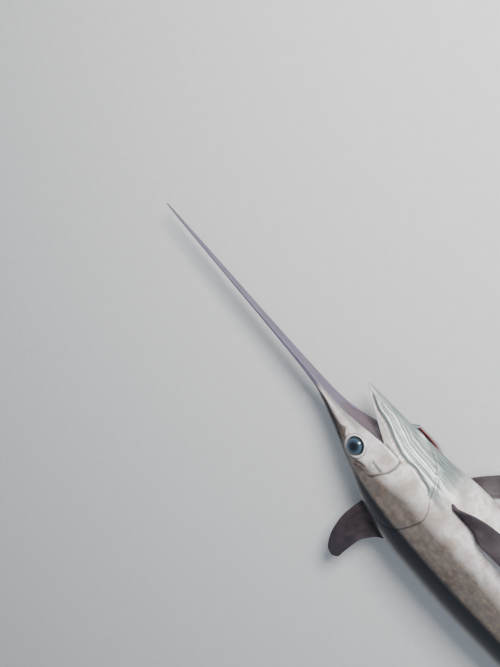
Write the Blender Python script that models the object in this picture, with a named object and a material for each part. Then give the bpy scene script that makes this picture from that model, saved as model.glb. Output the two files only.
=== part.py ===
"""A life-size swordfish, lying on its left flank with its mouth open.

Metres, +Z up. The bill points towards +X, the back towards +Y, and the right flank faces up.
Shapes are first worked out on a straight fish, in three coordinates:
  s  distance behind the tip of the closed lower jaw, negative along the bill
  y  height towards the back, from the bill's centre line
  z  distance towards the right flank, from the middle plane
resting() then lays each point of that fish on the floor.
"""

import math

import bmesh
import bpy
import numpy as np
from mathutils import Vector

# Lengths along the fish
JAW_TO_FORK = 1.60
BILL_LENGTH = 0.69
BILL_ROOT_S = -0.030
MOUTH_CORNER_S = 0.185
TORSO_SPLIT_S = 0.740
TAIL_STEM_S = 1.120
STEM_END_S = 1.565
GAP = 0.0003
CAP_GAP = 0.00045

# Resting on the floor
FLANK_HEIGHT = 0.098
REST_S = 0.600
HEAD_BEND_START_S = 0.450
HEAD_BEND_END_S = 0.150
HEAD_SLOPE = 0.035
TAIL_BEND_START_S = 0.800
TAIL_BEND_END_S = 1.470
TAIL_BEND = 0.107

# The head's own features
EYE_S = 0.143
EYE_Y = 0.0145
EYE_RADIUS = 0.0245
EYE_DEPTH = 0.0150
EYE_BULGE = 0.0105
EYE_TURN_FORWARD = math.radians(11)
EYE_TURN_DOWN = math.radians(6)
ORBIT_RIM_HEIGHT = 0.0036
ORBIT_RIM_HALF_WIDTH = 0.0055
ORBIT_RIM_OUTSIDE_EYE = 0.0030
JAW_TIP_S = 0.046
JAW_TIP_Y = -0.106
JAW_TIP_HEIGHT = 0.003
JAW_TIP_HALF_WIDTH = 0.0022
JAW_WALL = 0.0070
JAW_FLOOR = 0.009
LIP = 0.0011
NOSTRILS = [(0.094, 0.0400), (0.104, 0.0415)]
NOSTRIL_RADIUS = 0.0030
GILL_COVER_STEP = 0.0040
GILL_COVER_THICKNESS = 0.0028
GILL_UNDERCUT = 0.0120
LEFT_SLIT_OPENING = 0.0080
# Two rings under the cover: how deep each lies at the nape, and how much deeper where it is free
UNDER_COVER_DEPTHS = [(0.0012, 0.0035), (0.0018, 0.0120)]
HEAD_END_CENTRE_S = 0.345

# The gill filaments in the left slit, between two steps of a ring. Sizes are half height and half thickness.
FILAMENTS = 13
FILAMENTS_FROM_STEP = 14.4
FILAMENTS_TO_STEP = 17.6
FILAMENT_ROOT = (0.0040, 0.0009)
FILAMENT_TIP = (0.0016, 0.0006)

# The hollow of the open mouth, behind the jaws
HOLLOW_START_S = 0.181
HOLLOW_DEPTH = 0.062
HOLLOW_Y = -0.079
HOLLOW_RISE = 0.024
HOLLOW_HALF_HEIGHT = 0.0265

# The keel on each side of the tail stem
KEEL_START_S = 1.385
KEEL_LENGTH = 0.170
KEEL_HALF_WIDTH = (0.004, 0.051)
KEEL_HALF_THICKNESS = 0.0065

# Fins
FIN_TIP_THICKNESS = 0.0012

# Rows are (s, top, bottom, half width, level of the widest point).
TRUNK_SIZES = [
    (0.185, 0.092, -0.120, 0.0640, 0.013),
    (0.245, 0.118, -0.126, 0.0760, 0.010),
    (0.340, 0.145, -0.133, 0.0905, 0.006),
    (0.430, 0.154, -0.142, 0.0990, 0.003),
    (0.560, 0.154, -0.149, 0.1040, 0.000),
    (0.780, 0.142, -0.143, 0.1000, 0.000),
    (1.000, 0.114, -0.117, 0.0830, 0.000),
    (1.200, 0.082, -0.084, 0.0610, 0.000),
    (1.360, 0.052, -0.054, 0.0390, 0.000),
    (1.460, 0.034, -0.035, 0.0260, 0.000),
    (1.520, 0.027, -0.027, 0.0190, 0.000),
    (1.565, 0.036, -0.036, 0.0090, 0.000),
]
# The bill and upper jaw: the bottom is the palate, and jaw edge is its half width there.
# Rows are (s, top, palate, half width, level, jaw edge, vault of the palate).
UPPER_SIZES = [
    (-0.690, 0.0013, -0.0012, 0.0022, 0.000, 0.0021, 0.0000),
    (-0.640, 0.0024, -0.0018, 0.0050, 0.000, 0.0048, 0.0000),
    (-0.550, 0.0034, -0.0026, 0.0078, 0.000, 0.0074, 0.0000),
    (-0.345, 0.0052, -0.0042, 0.0128, 0.000, 0.0122, 0.0000),
    (-0.150, 0.0080, -0.0060, 0.0176, 0.000, 0.0168, 0.0000),
    (-0.047, 0.0132, -0.0072, 0.0230, 0.000, 0.0218, 0.0000),
    (0.000, 0.0248, -0.0080, 0.0268, 0.001, 0.0252, 0.0010),
    (0.040, 0.0395, -0.0112, 0.0305, 0.004, 0.0280, 0.0030),
    (0.100, 0.0610, -0.0245, 0.0430, 0.010, 0.0345, 0.0060),
    (0.143, 0.0785, -0.0375, 0.0550, 0.012, 0.0400, 0.0075),
    (0.185, 0.0920, -0.0510, 0.0640, 0.013, 0.0475, 0.0080),
]
# The rear edge of the gill covers, from the throat (-1) over the cheek to the nape (1).
GILL_EDGE = [
    (-1.00, 0.200),
    (-0.985, 0.240),
    (-0.94, 0.276),
    (-0.85, 0.308),
    (-0.60, 0.345),
    (-0.10, 0.378),
    (0.35, 0.366),
    (0.60, 0.338),
    (0.85, 0.288),
    (1.00, 0.262),
]

# Each side of a ring: steps from the back to the widest point, on to the jaw line, and under.
STEPS_BACK, STEPS_CHEEK, STEPS_UNDER = 9, 4, 6
JAW_STEP = STEPS_BACK + STEPS_CHEEK
HALF_RING = JAW_STEP + STEPS_UNDER
# Shares of the way down the cheek, the lip's relief there, and shares of the way across the palate.
CHEEK_SHARES = (0.0, 0.40, 0.72, 0.88, 1.0)
LIP_RELIEF = (0.0, 0.0, 0.0, -0.4, 1.0)
PALATE_SHARES = (0.0, 0.09, 0.26, 0.46, 0.66, 0.84, 1.0)


def smooth(rows, at, column=1):
    """The value of a column at one place: a cubic through the rows that never overshoots them."""
    x = np.array([row[0] for row in rows])
    v = np.array([row[column] for row in rows])
    h = np.diff(x)
    slope = np.diff(v) / h
    tangent = np.zeros(len(x))
    tangent[0], tangent[-1] = slope[0], slope[-1]
    for i in range(1, len(x) - 1):
        if slope[i - 1] * slope[i] > 0:
            w1, w2 = 2 * h[i] + h[i - 1], h[i] + 2 * h[i - 1]
            tangent[i] = (w1 + w2) / (w1 / slope[i - 1] + w2 / slope[i])
    at = min(max(at, x[0]), x[-1])
    i = min(int(np.searchsorted(x, at, side="right")) - 1, len(x) - 2)
    t = (at - x[i]) / h[i]
    return float(
        (2 * t**3 - 3 * t**2 + 1) * v[i]
        + (t**3 - 2 * t**2 + t) * h[i] * tangent[i]
        + (-2 * t**3 + 3 * t**2) * v[i + 1]
        + (t**3 - t**2) * h[i] * tangent[i + 1]
    )


def ease(t):
    t = min(max(t, 0.0), 1.0)
    return t * t * (3 - 2 * t)


def spine(s):
    """Height of the middle line over the floor, and its slope towards the head."""
    bend = HEAD_BEND_START_S - HEAD_BEND_END_S
    ahead = min(max(HEAD_BEND_START_S - s, 0.0), bend)
    straight = max(HEAD_BEND_END_S - s, 0.0)
    front_slope = -HEAD_SLOPE * ahead / bend
    front = HEAD_SLOPE * (ahead**2 / (2 * bend) + straight)
    behind = min(max(s - TAIL_BEND_START_S, 0.0), TAIL_BEND_END_S - TAIL_BEND_START_S)
    past = max(s - TAIL_BEND_END_S, 0.0)
    rear_slope = 2 * TAIL_BEND * behind
    rear = TAIL_BEND * behind**2 + rear_slope * past
    return FLANK_HEIGHT - front - rear, front_slope + rear_slope


def resting(point):
    """Where a point (s, y, z) of the straight fish lies in the world."""
    s, y, z = point
    height, slope = spine(s)
    length = math.hypot(1.0, slope)
    world = (REST_S - s - z * slope / length, y, height + z / length)
    return (world[0], world[1], max(world[2], 0.0))


def belly_power(s):
    """How far the underside is pinched in: 1 is round, and the throat is narrower."""
    return 1.0 + 0.75 * ease((0.42 - s) / 0.20)


def under_angle(step):
    """The angle below the widest point at a step. The line of the mouth corner runs on as one step."""
    top, bottom, _, level = (smooth(TRUNK_SIZES, MOUTH_CORNER_S, i) for i in (1, 2, 3, 4))
    corner = math.asin((level - smooth(UPPER_SIZES, MOUTH_CORNER_S, 2)) / (level - bottom))
    if step <= JAW_STEP:
        return corner * (step - STEPS_BACK) / STEPS_CHEEK
    return corner + (math.pi / 2 - corner) * (step - JAW_STEP) / STEPS_UNDER


def trunk_point(s, step):
    """The skin of the right side behind the mouth corner. Step 0 is the back, HALF_RING the belly."""
    top, bottom, half, level = (smooth(TRUNK_SIZES, s, i) for i in (1, 2, 3, 4))
    if step <= STEPS_BACK:
        angle = math.pi / 2 * step / STEPS_BACK
        return s, level + (top - level) * math.cos(angle), half * math.sin(angle) ** 0.92
    angle = under_angle(step)
    across = max(math.cos(angle), 0.0) ** belly_power(s)
    return s, level - (level - bottom) * math.sin(angle), half * across


def upper_point(s, step):
    """The skin of the right side of the bill and upper jaw. The last steps cross the palate."""
    top, palate, half, level, edge, vault = (smooth(UPPER_SIZES, s, i) for i in range(1, 7))
    blade = ease((0.06 - s) / 0.12)
    lip = LIP * ease((s - 0.01) / 0.06)
    if step <= STEPS_BACK:
        angle = math.pi / 2 * step / STEPS_BACK
        rise = math.cos(angle) ** (1.0 + 0.45 * blade)
        return s, level + (top - level) * rise, half * math.sin(angle) ** 0.92
    if step <= JAW_STEP:
        t = float(np.interp(step - STEPS_BACK, range(STEPS_CHEEK + 1), CHEEK_SHARES))
        relief = lip * float(np.interp(step - STEPS_BACK, range(STEPS_CHEEK + 1), LIP_RELIEF))
        y = level - (level - palate) * t ** (1.0 + 0.3 * blade)
        return s, y, half - (half - edge) * t**1.4 + relief
    t = float(np.interp(step - JAW_STEP, range(STEPS_UNDER + 1), PALATE_SHARES))
    return s, palate + vault * ease((t - 0.05) / 0.55), (edge + lip) * (1.0 - t)


def half_width_at(s, y):
    """Half the width of the trunk or upper jaw at a height."""
    if s < MOUTH_CORNER_S:
        side = [upper_point(s, step / 4)[1:] for step in range(4 * JAW_STEP + 1)]
    else:
        side = [trunk_point(s, step / 4)[1:] for step in range(4 * HALF_RING + 1)]
    return float(np.interp(-y, [-p[0] for p in side], [p[1] for p in side]))


def full_ring(right_side):
    """A closed ring from its right side: down the right, then up the left."""
    left = [(s, y, -z) for s, y, z in right_side[-2:0:-1]]
    return list(right_side) + left


def gill_edge_s(step):
    """Where the head ends, on each line along the fish."""
    return smooth(GILL_EDGE, math.cos(math.pi * step / HALF_RING))


def gill_cover_share(step):
    """How far the gill cover stands free on each line: not at all over the nape."""
    return ease((step - 4) / 3)


def gill_cover_lift(step, side):
    """How high the cover's edge stands over the trunk. The left one gapes under the throat."""
    gape = LEFT_SLIT_OPENING * ease((step - 13.5) / 2.5) * ease((19.2 - step) / 1.6)
    return GILL_COVER_STEP * gill_cover_share(step) + (gape if side < 0 else 0.0)


def lifted(point, lift):
    """A point of the skin moved away from the middle line of the fish."""
    s, y, z = point
    length = math.hypot(y, z)
    return s, y * (1 + lift / length), z * (1 + lift / length)


def ring_of(point_at):
    """A closed ring from point_at(step, side): down the right side, then up the left."""
    right = [point_at(k, 1) for k in range(HALF_RING + 1)]
    left = [point_at(k, -1) for k in range(HALF_RING - 1, 0, -1)]
    return right + [(s, y, -z) for s, y, z in left]


def swap_winding(faces):
    return [tuple(reversed(face)) for face in faces]


def loft_faces(ring_count, ring_size):
    """Triangles between rings that run towards the tail, facing out, with the same split everywhere."""
    faces = []
    for r in range(ring_count - 1):
        for k in range(ring_size):
            a, b = r * ring_size + k, r * ring_size + (k + 1) % ring_size
            c, d = a + ring_size, b + ring_size
            faces += [(a, b, d), (a, d, c)]
    return faces


def fan_faces(first, ring_size, centre, towards_head):
    faces = []
    for k in range(ring_size):
        a, b = first + k, first + (k + 1) % ring_size
        faces.append((a, centre, b) if towards_head else (a, b, centre))
    return swap_winding(faces)


def mesh_object(name, points, faces, material, helper=False):
    """A named object from points of the world, turned to face out, with its origin in its middle."""
    middle = Vector(np.mean(np.array(points), axis=0))
    mesh = bpy.data.meshes.new(name)
    mesh.from_pydata([Vector(p) - middle for p in points], [], faces)
    mesh.validate()
    work = bmesh.new()
    work.from_mesh(mesh)
    bmesh.ops.remove_doubles(work, verts=work.verts, dist=1e-6)
    bmesh.ops.recalc_face_normals(work, faces=work.faces)
    if work.calc_volume(signed=True) < 0:
        bmesh.ops.reverse_faces(work, faces=work.faces)
    work.to_mesh(mesh)
    work.free()
    obj = bpy.data.objects.new(name, mesh)
    obj.location = middle
    bpy.context.scene.collection.objects.link(obj)
    if material:
        mesh.materials.append(material)
    if helper:
        obj.hide_render = True
        obj.display_type = "WIRE"
    else:
        mesh.shade_smooth()
        obj.parent = bpy.data.objects["swordfish_rest"]
    return obj


def lofted(name, rings, material, front_centre=None, rear_centre=None, helper=False):
    """A closed solid through rings of straight-fish points. A centre closes each end with a fan."""
    size = len(rings[0])
    points = [p for ring in rings for p in ring]
    faces = loft_faces(len(rings), size)
    front_centre = front_centre or tuple(np.mean(rings[0], axis=0))
    rear_centre = rear_centre or tuple(np.mean(rings[-1], axis=0))
    points += [front_centre, rear_centre]
    faces += fan_faces(0, size, len(points) - 2, True)
    faces += fan_faces(size * (len(rings) - 1), size, len(points) - 1, False)
    return mesh_object(name, [resting(p) for p in points], faces, material, helper)


def boolean(target, cutters, operation):
    """Joins or cuts with closed helper meshes in one step, applies it, and removes the helpers."""
    group = bpy.data.collections.new(target.name + "_helpers")
    bpy.context.scene.collection.children.link(group)
    for cutter in cutters:
        bpy.context.scene.collection.objects.unlink(cutter)
        group.objects.link(cutter)
    modifier = target.modifiers.new("join or cut", "BOOLEAN")
    modifier.operation = operation
    modifier.operand_type = "COLLECTION"
    modifier.collection = group
    modifier.solver = "EXACT"
    bpy.context.view_layer.update()
    graph = bpy.context.evaluated_depsgraph_get()
    result = bpy.data.meshes.new_from_object(target.evaluated_get(graph))
    target.modifiers.clear()
    materials = [m for m in target.data.materials if m]
    target.data = result
    result.materials.clear()
    result.materials.append(materials[0])
    for cutter in cutters:
        bpy.data.objects.remove(cutter)
    bpy.data.collections.remove(group)
    keep_largest(target)


def keep_largest(obj):
    """Keeps only the largest closed surface of a mesh."""
    work = bmesh.new()
    work.from_mesh(obj.data)
    bmesh.ops.triangulate(work, faces=work.faces)
    left = set(work.faces)
    best, best_size = set(), -1.0
    while left:
        found, queue = set(), [left.pop()]
        while queue:
            face = queue.pop()
            found.add(face)
            for edge in face.edges:
                for other in edge.link_faces:
                    if other in left:
                        left.remove(other)
                        queue.append(other)
        size = abs(sum(f.calc_center_median().dot(f.normal) * f.calc_area() for f in found))
        if size > best_size:
            best, best_size = found, size
    bmesh.ops.delete(work, geom=[f for f in work.faces if f not in best], context="FACES")
    for face in work.faces:
        face.material_index = 0
    work.to_mesh(obj.data)
    work.free()
    obj.data.shade_smooth()


def paint(name, colour, roughness):
    material = bpy.data.materials.new(name)
    material.use_nodes = True
    shader = material.node_tree.nodes["Principled BSDF"]
    shader.inputs["Base Color"].default_value = (*colour, 1.0)
    shader.inputs["Roughness"].default_value = roughness
    shader.inputs["Metallic"].default_value = 0.0
    return material


def make_bill(material):
    """The sword: a flat blade with sharp sides, from its tip to where the snout rises."""
    stations = [-BILL_LENGTH + (BILL_ROOT_S + BILL_LENGTH) * (i / 17) ** 1.15 for i in range(18)]
    rings = [full_ring([upper_point(s, k) for k in range(HALF_RING + 1)]) for s in stations]
    return lofted("bill", rings, material)


def cover_rings(first_s):
    """Rings from the mouth corner to the gill cover's edge, then under it to where it hangs."""
    rings = []
    for i in range(11):
        part = i / 10

        def on_cover(k, side):
            s = first_s + (gill_edge_s(k) - first_s) * part
            lift = gill_cover_lift(k, side) * ease((part - 0.4) / 0.6)
            return lifted(trunk_point(s, k), lift)

        rings.append(ring_of(on_cover))

    def inner_edge(k, side):
        lift = gill_cover_lift(k, side)
        inner = max(lift - GILL_COVER_THICKNESS, 0.3 * lift) - 0.0004
        return lifted((gill_edge_s(k), *trunk_point(gill_edge_s(k), k)[1:]), inner)

    rings.append(ring_of(inner_edge))
    for depth, free_depth in UNDER_COVER_DEPTHS:

        def under_cover(k, side):
            free = gill_cover_share(k) * ease((HALF_RING + 0.4 - k) / 2.6)
            skin = trunk_point(gill_edge_s(k), k)
            s = gill_edge_s(k) - GILL_UNDERCUT * free
            return lifted((s, *skin[1:]), -depth - free_depth * free)

        rings.append(ring_of(under_cover))
    return rings


def head_rings():
    """Rings of the head: the upper jaw, the front of the throat, then back to the gill edge."""
    rings = []
    front = BILL_ROOT_S + CAP_GAP
    for i in range(13):
        s = front + (MOUTH_CORNER_S - front) * i / 12
        rings.append(full_ring([upper_point(s, k) for k in range(HALF_RING + 1)]))
    return rings + cover_rings(MOUTH_CORNER_S + GAP)


def ellipsoid(name, centre, axes, radii, helper=True, material=None, segments=24, rings=14):
    """An ellipsoid on the straight fish. axes are three unit vectors, radii its half sizes along them."""
    points = [tuple(centre + axes[2] * radii[2])]
    for r in range(1, rings):
        tilt = math.pi * r / rings
        for k in range(segments):
            turn = 2 * math.pi * k / segments
            offset = (
                axes[0] * radii[0] * math.sin(tilt) * math.cos(turn)
                + axes[1] * radii[1] * math.sin(tilt) * math.sin(turn)
                + axes[2] * radii[2] * math.cos(tilt)
            )
            points.append(tuple(centre + offset))
    points.append(tuple(centre - axes[2] * radii[2]))
    faces = []
    for k in range(segments):
        n = (k + 1) % segments
        faces.append((0, 1 + k, 1 + n))
        last = 1 + (rings - 2) * segments
        faces.append((len(points) - 1, last + n, last + k))
        for r in range(rings - 2):
            a, b = 1 + r * segments + k, 1 + r * segments + n
            faces += [(a, a + segments, b + segments), (a, b + segments, b)]
    return mesh_object(name, [resting(p) for p in points], faces, material, helper)


def eye_axes(side):
    """Two directions in the plane of the eye, and the way that it looks out."""
    out = Vector(
        (-math.sin(EYE_TURN_FORWARD), -math.sin(EYE_TURN_DOWN), side * math.cos(EYE_TURN_FORWARD))
    ).normalized()
    along = Vector((1.0, 0.0, 0.0))
    along = (along - out * along.dot(out)).normalized()
    return along, out.cross(along), out


def eye_centre(side):
    surface = half_width_at(EYE_S, EYE_Y)
    out = eye_axes(side)[2]
    return Vector((EYE_S, EYE_Y, side * surface)) + out * (EYE_BULGE - EYE_DEPTH)


def orbit_ring(name, side):
    """The raised rim of skin round an eye, as a flattened ring."""
    along, across, out = eye_axes(side)
    centre = Vector((EYE_S, EYE_Y, side * (half_width_at(EYE_S, EYE_Y) - 0.0005)))
    points, faces = [], []
    around, section = 24, 8
    for i in range(around):
        turn = 2 * math.pi * i / around
        radial = along * math.cos(turn) + across * math.sin(turn)
        for j in range(section):
            part = 2 * math.pi * j / section
            points.append(
                tuple(
                    centre
                    + radial * (EYE_RADIUS + ORBIT_RIM_OUTSIDE_EYE)
                    + radial * ORBIT_RIM_HALF_WIDTH * math.cos(part)
                    + out * ORBIT_RIM_HEIGHT * math.sin(part)
                )
            )
    for i in range(around):
        for j in range(section):
            a, b = i * section + j, i * section + (j + 1) % section
            c, d = (a + section) % len(points), (i + 1) % around * section + (j + 1) % section
            faces += [(a, c, d), (a, d, b)]
    return mesh_object(name, [resting(p) for p in points], faces, None, True)


def mouth_cutter():
    """The hollow of the open mouth behind the jaws, narrowing into the throat."""
    rings = []
    for i in range(7):
        part = i / 6
        size = math.sqrt(max(1 - part**2.2, 0.03))
        middle = HOLLOW_Y + HOLLOW_RISE * part
        ring = []
        for k in range(20):
            turn = 2 * math.pi * k / 20
            y = middle + HOLLOW_HALF_HEIGHT * size * math.sin(turn)
            wide = half_width_at(MOUTH_CORNER_S + 0.012, y) - JAW_WALL - 0.003
            ring.append((HOLLOW_START_S + HOLLOW_DEPTH * part, y, wide * size * math.cos(turn)))
        rings.append(ring)
    return lofted("mouth_hollow", rings, None, helper=True)


def gill_edge_point(step):
    """The skin under the gill cover's edge, on the straight line between two whole steps."""
    low = min(int(step), HALF_RING - 1)
    ends = [np.array(trunk_point(gill_edge_s(k), k)) for k in (low, low + 1)]
    return tuple(ends[0] + (ends[1] - ends[0]) * (step - low))


def gill_filaments():
    """Red gill filaments that stand in the open slit under the left gill cover, as thin slabs."""
    slabs = []
    for i in range(FILAMENTS):
        share = i / (FILAMENTS - 1)
        step = FILAMENTS_FROM_STEP + (FILAMENTS_TO_STEP - FILAMENTS_FROM_STEP) * share
        edge, *skin = gill_edge_point(step)
        root = lifted((edge - GILL_UNDERCUT - 0.002, *skin), -0.0065)
        tip = lifted((edge - 0.0050, *skin), 0.0005 * (i % 2) - 0.0010)
        rings = []
        for (s, y, z), (high, thick) in ((root, FILAMENT_ROOT), (tip, FILAMENT_TIP)):
            length = math.hypot(y, z)
            out = (y / length, z / length)
            corners = ((-1, -1), (1, -1), (1, 1), (-1, 1))
            rings.append(
                [
                    (
                        s,
                        y + out[0] * high * a - out[1] * thick * b,
                        -(z + out[1] * high * a + out[0] * thick * b),
                    )
                    for a, b in corners
                ]
            )
        slabs.append(lofted(f"filament_{i}", rings, None, helper=True))
    return slabs


def make_head(material):
    """Snout, cheeks, gill covers and throat, with eye sockets, nostrils and the mouth's hollow."""
    head = lofted("head", head_rings(), material, rear_centre=(HEAD_END_CENTRE_S, 0.0, 0.0))
    joined = [orbit_ring("rim_right", 1), orbit_ring("rim_left", -1)] + gill_filaments()
    boolean(head, joined, "UNION")
    cutters = [mouth_cutter()]
    radii = (EYE_RADIUS + GAP, EYE_RADIUS + GAP, EYE_DEPTH + GAP)
    for side, word in ((1, "right"), (-1, "left")):
        cutters.append(ellipsoid("socket_" + word, eye_centre(side), eye_axes(side), radii))
        for nostril_s, nostril_y in NOSTRILS:
            centre = Vector((nostril_s, nostril_y, side * half_width_at(nostril_s, nostril_y)))
            sizes = (NOSTRIL_RADIUS, NOSTRIL_RADIUS * 0.7, NOSTRIL_RADIUS * 1.2)
            name = f"nostril_{word}_{int(nostril_s * 1000)}"
            cutters.append(ellipsoid(name, centre, eye_axes(side), sizes, segments=8, rings=5))
    boolean(head, cutters, "DIFFERENCE")
    return head


def make_eye(side, word, material):
    radii = (EYE_RADIUS, EYE_RADIUS, EYE_DEPTH)
    return ellipsoid("eye_" + word, eye_centre(side), eye_axes(side), radii, False, material)


def jaw_section(part):
    """Outer and inner halves of the lower jaw's trough, part 0 at its tip and 1 at the mouth corner."""
    s = JAW_TIP_S + (MOUTH_CORNER_S - GAP - JAW_TIP_S) * part
    root = [trunk_point(MOUTH_CORNER_S, k) for k in range(JAW_STEP, HALF_RING + 1)]
    rim_root, keel_root, wide_root = root[0][1], root[-1][1], root[0][2]
    rim = JAW_TIP_Y + (rim_root - JAW_TIP_Y) * part**0.92
    keel_tip = JAW_TIP_Y - JAW_TIP_HEIGHT
    keel = keel_tip + (keel_root - keel_tip) * part**0.7
    wide = JAW_TIP_HALF_WIDTH + (wide_root - JAW_TIP_HALF_WIDTH) * part**0.88
    outer = []
    for _, y, z in root:
        share = (rim_root - y) / (rim_root - keel_root)
        outer.append((s, rim - (rim - keel) * share, wide * z / wide_root))
    wall = min(JAW_WALL, 0.45 * wide)
    floor = keel + min(JAW_FLOOR, 0.55 * (rim - keel))
    inner = []
    for _, y, z in outer:
        share = (rim - y) / (rim - keel)
        inner.append((s, rim - (rim - floor) * share, z * (wide - wall) / wide))
    return outer, inner


def make_lower_jaw(material):
    """The lower jaw: a trough that narrows to a point, dropped open from the mouth corner."""
    count = 13
    points, faces = [], []
    for i in range(count):
        outer, inner = jaw_section((i / (count - 1)) ** 1.2)
        left = [(s, y, -z) for s, y, z in outer[:-1]]
        left_inner = [(s, y, -z) for s, y, z in inner[:-1]]
        points += outer + left[::-1] + left_inner + inner[::-1]
    size = len(points) // count
    faces = loft_faces(count, size)
    half = size // 2
    for first, ahead in ((0, True), (size * (count - 1), False)):
        for k in range(half - 1):
            a, b = first + k, first + k + 1
            c, d = first + size - 1 - k, first + size - 2 - k
            quad = [(a, b, d), (a, d, c)]
            faces += swap_winding(quad) if ahead else quad
    return mesh_object("lower_jaw", [resting(p) for p in points], faces, material)


def torso_rings(start_at, last, count):
    """Rings of the trunk. start_at(step) is where each line along the fish begins."""
    rings = []
    for i in range(count):
        part = i / (count - 1)
        side = []
        for k in range(HALF_RING + 1):
            s = start_at(k) + (last - start_at(k)) * part
            side.append(trunk_point(s, k))
        rings.append(full_ring(side))
    return rings


def make_torso(material):
    """The trunk, in two lengths. Its front runs forward between the gill covers as the isthmus."""
    front = torso_rings(lambda k: gill_edge_s(k) + CAP_GAP, TORSO_SPLIT_S, 10)
    lofted("torso_front", front, material, front_centre=(HEAD_END_CENTRE_S + CAP_GAP, 0.0, 0.0))
    rear = torso_rings(lambda k: TORSO_SPLIT_S + CAP_GAP, TAIL_STEM_S, 8)
    lofted("torso_rear", rear, material)


def keel_helper():
    """The keel on each side of the tail stem, as one flat blade through it."""
    rings = []
    least, most = KEEL_HALF_WIDTH
    for i in range(13):
        part = i / 12
        s = KEEL_START_S + KEEL_LENGTH * part
        wide = least + (most - least) * math.sin(math.pi * part**0.85) ** 0.8
        ring = []
        for k in range(12):
            turn = 2 * math.pi * k / 12
            y = KEEL_HALF_THICKNESS * math.sin(turn) * abs(math.sin(turn))
            ring.append((s, y, wide * math.cos(turn)))
        rings.append(ring)
    return lofted("keel", rings, None, helper=True)


def make_tail_stem(material):
    rings = torso_rings(lambda k: TAIL_STEM_S + CAP_GAP, STEM_END_S, 15)
    stem = lofted("tail_stem", rings, material)
    boolean(stem, [keel_helper()], "UNION")
    return stem


def fin_grid(leading, trailing, rays, rows, thickness):
    """In-plane places and half thicknesses of a fin, columns from its front edge to its rear edge."""
    columns = 2 * rays + 1
    grid = []
    for r in range(rows + 1):
        v = r / rows
        front = [smooth(leading, v, i) for i in (1, 2)]
        rear = [smooth(trailing, v, i) for i in (1, 2)]
        line = []
        for c in range(columns):
            u = c / (columns - 1)
            a = front[0] + (rear[0] - front[0]) * u
            b = front[1] + (rear[1] - front[1]) * u
            thick = FIN_TIP_THICKNESS + (thickness - FIN_TIP_THICKNESS) * (1 - v) ** 1.3
            body = 0.35 + 0.65 * math.sqrt(max(1 - ((u - 0.28) / 0.74) ** 2, 0.0))
            ridge = 1.0 if c % 2 else 0.66
            line.append((a, b, 0.5 * thick * body * ridge))
        grid.append(line)
    return grid


def fin_mesh(name, grid, to_world, material):
    """A closed fin. Both faces are split into triangles alike, and to_world lays out each point."""
    rows, columns = len(grid), len(grid[0])
    points = []
    for side in (1, -1):
        for line in grid:
            points += [to_world(a, b, side * half) for a, b, half in line]
    faces = []
    other = rows * columns
    for r in range(rows - 1):
        for c in range(columns - 1):
            a, b = r * columns + c, r * columns + c + 1
            d, e = a + columns, b + columns
            faces += [(a, b, e), (a, e, d)]
            faces += [(other + a, other + e, other + b), (other + a, other + d, other + e)]
    border = [(0, c) for c in range(columns)]
    border += [(r, columns - 1) for r in range(1, rows)]
    border += [(rows - 1, c) for c in range(columns - 2, -1, -1)]
    border += [(r, 0) for r in range(rows - 2, 0, -1)]
    for i, (r, c) in enumerate(border):
        r2, c2 = border[(i + 1) % len(border)]
        a, b = r * columns + c, r2 * columns + c2
        faces += [(a, other + a, other + b), (a, other + b, b)]
    return mesh_object(name, points, faces, material)


def median_fin(name, leading, trailing, rays, rows, thickness, material, root_side=0):
    """A fin in the middle plane. Its root row rests on the back (1) or belly (-1)."""
    grid = fin_grid(leading, trailing, rays, rows, thickness)
    if root_side:
        column = 1 if root_side > 0 else 2
        root = []
        for s, _, half in grid[0]:
            root.append((s, smooth(TRUNK_SIZES, s, column) + root_side * GAP, half))
        grid[0] = root
    return fin_mesh(name, grid, lambda a, b, n: resting((a, b, n)), material)


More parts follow.
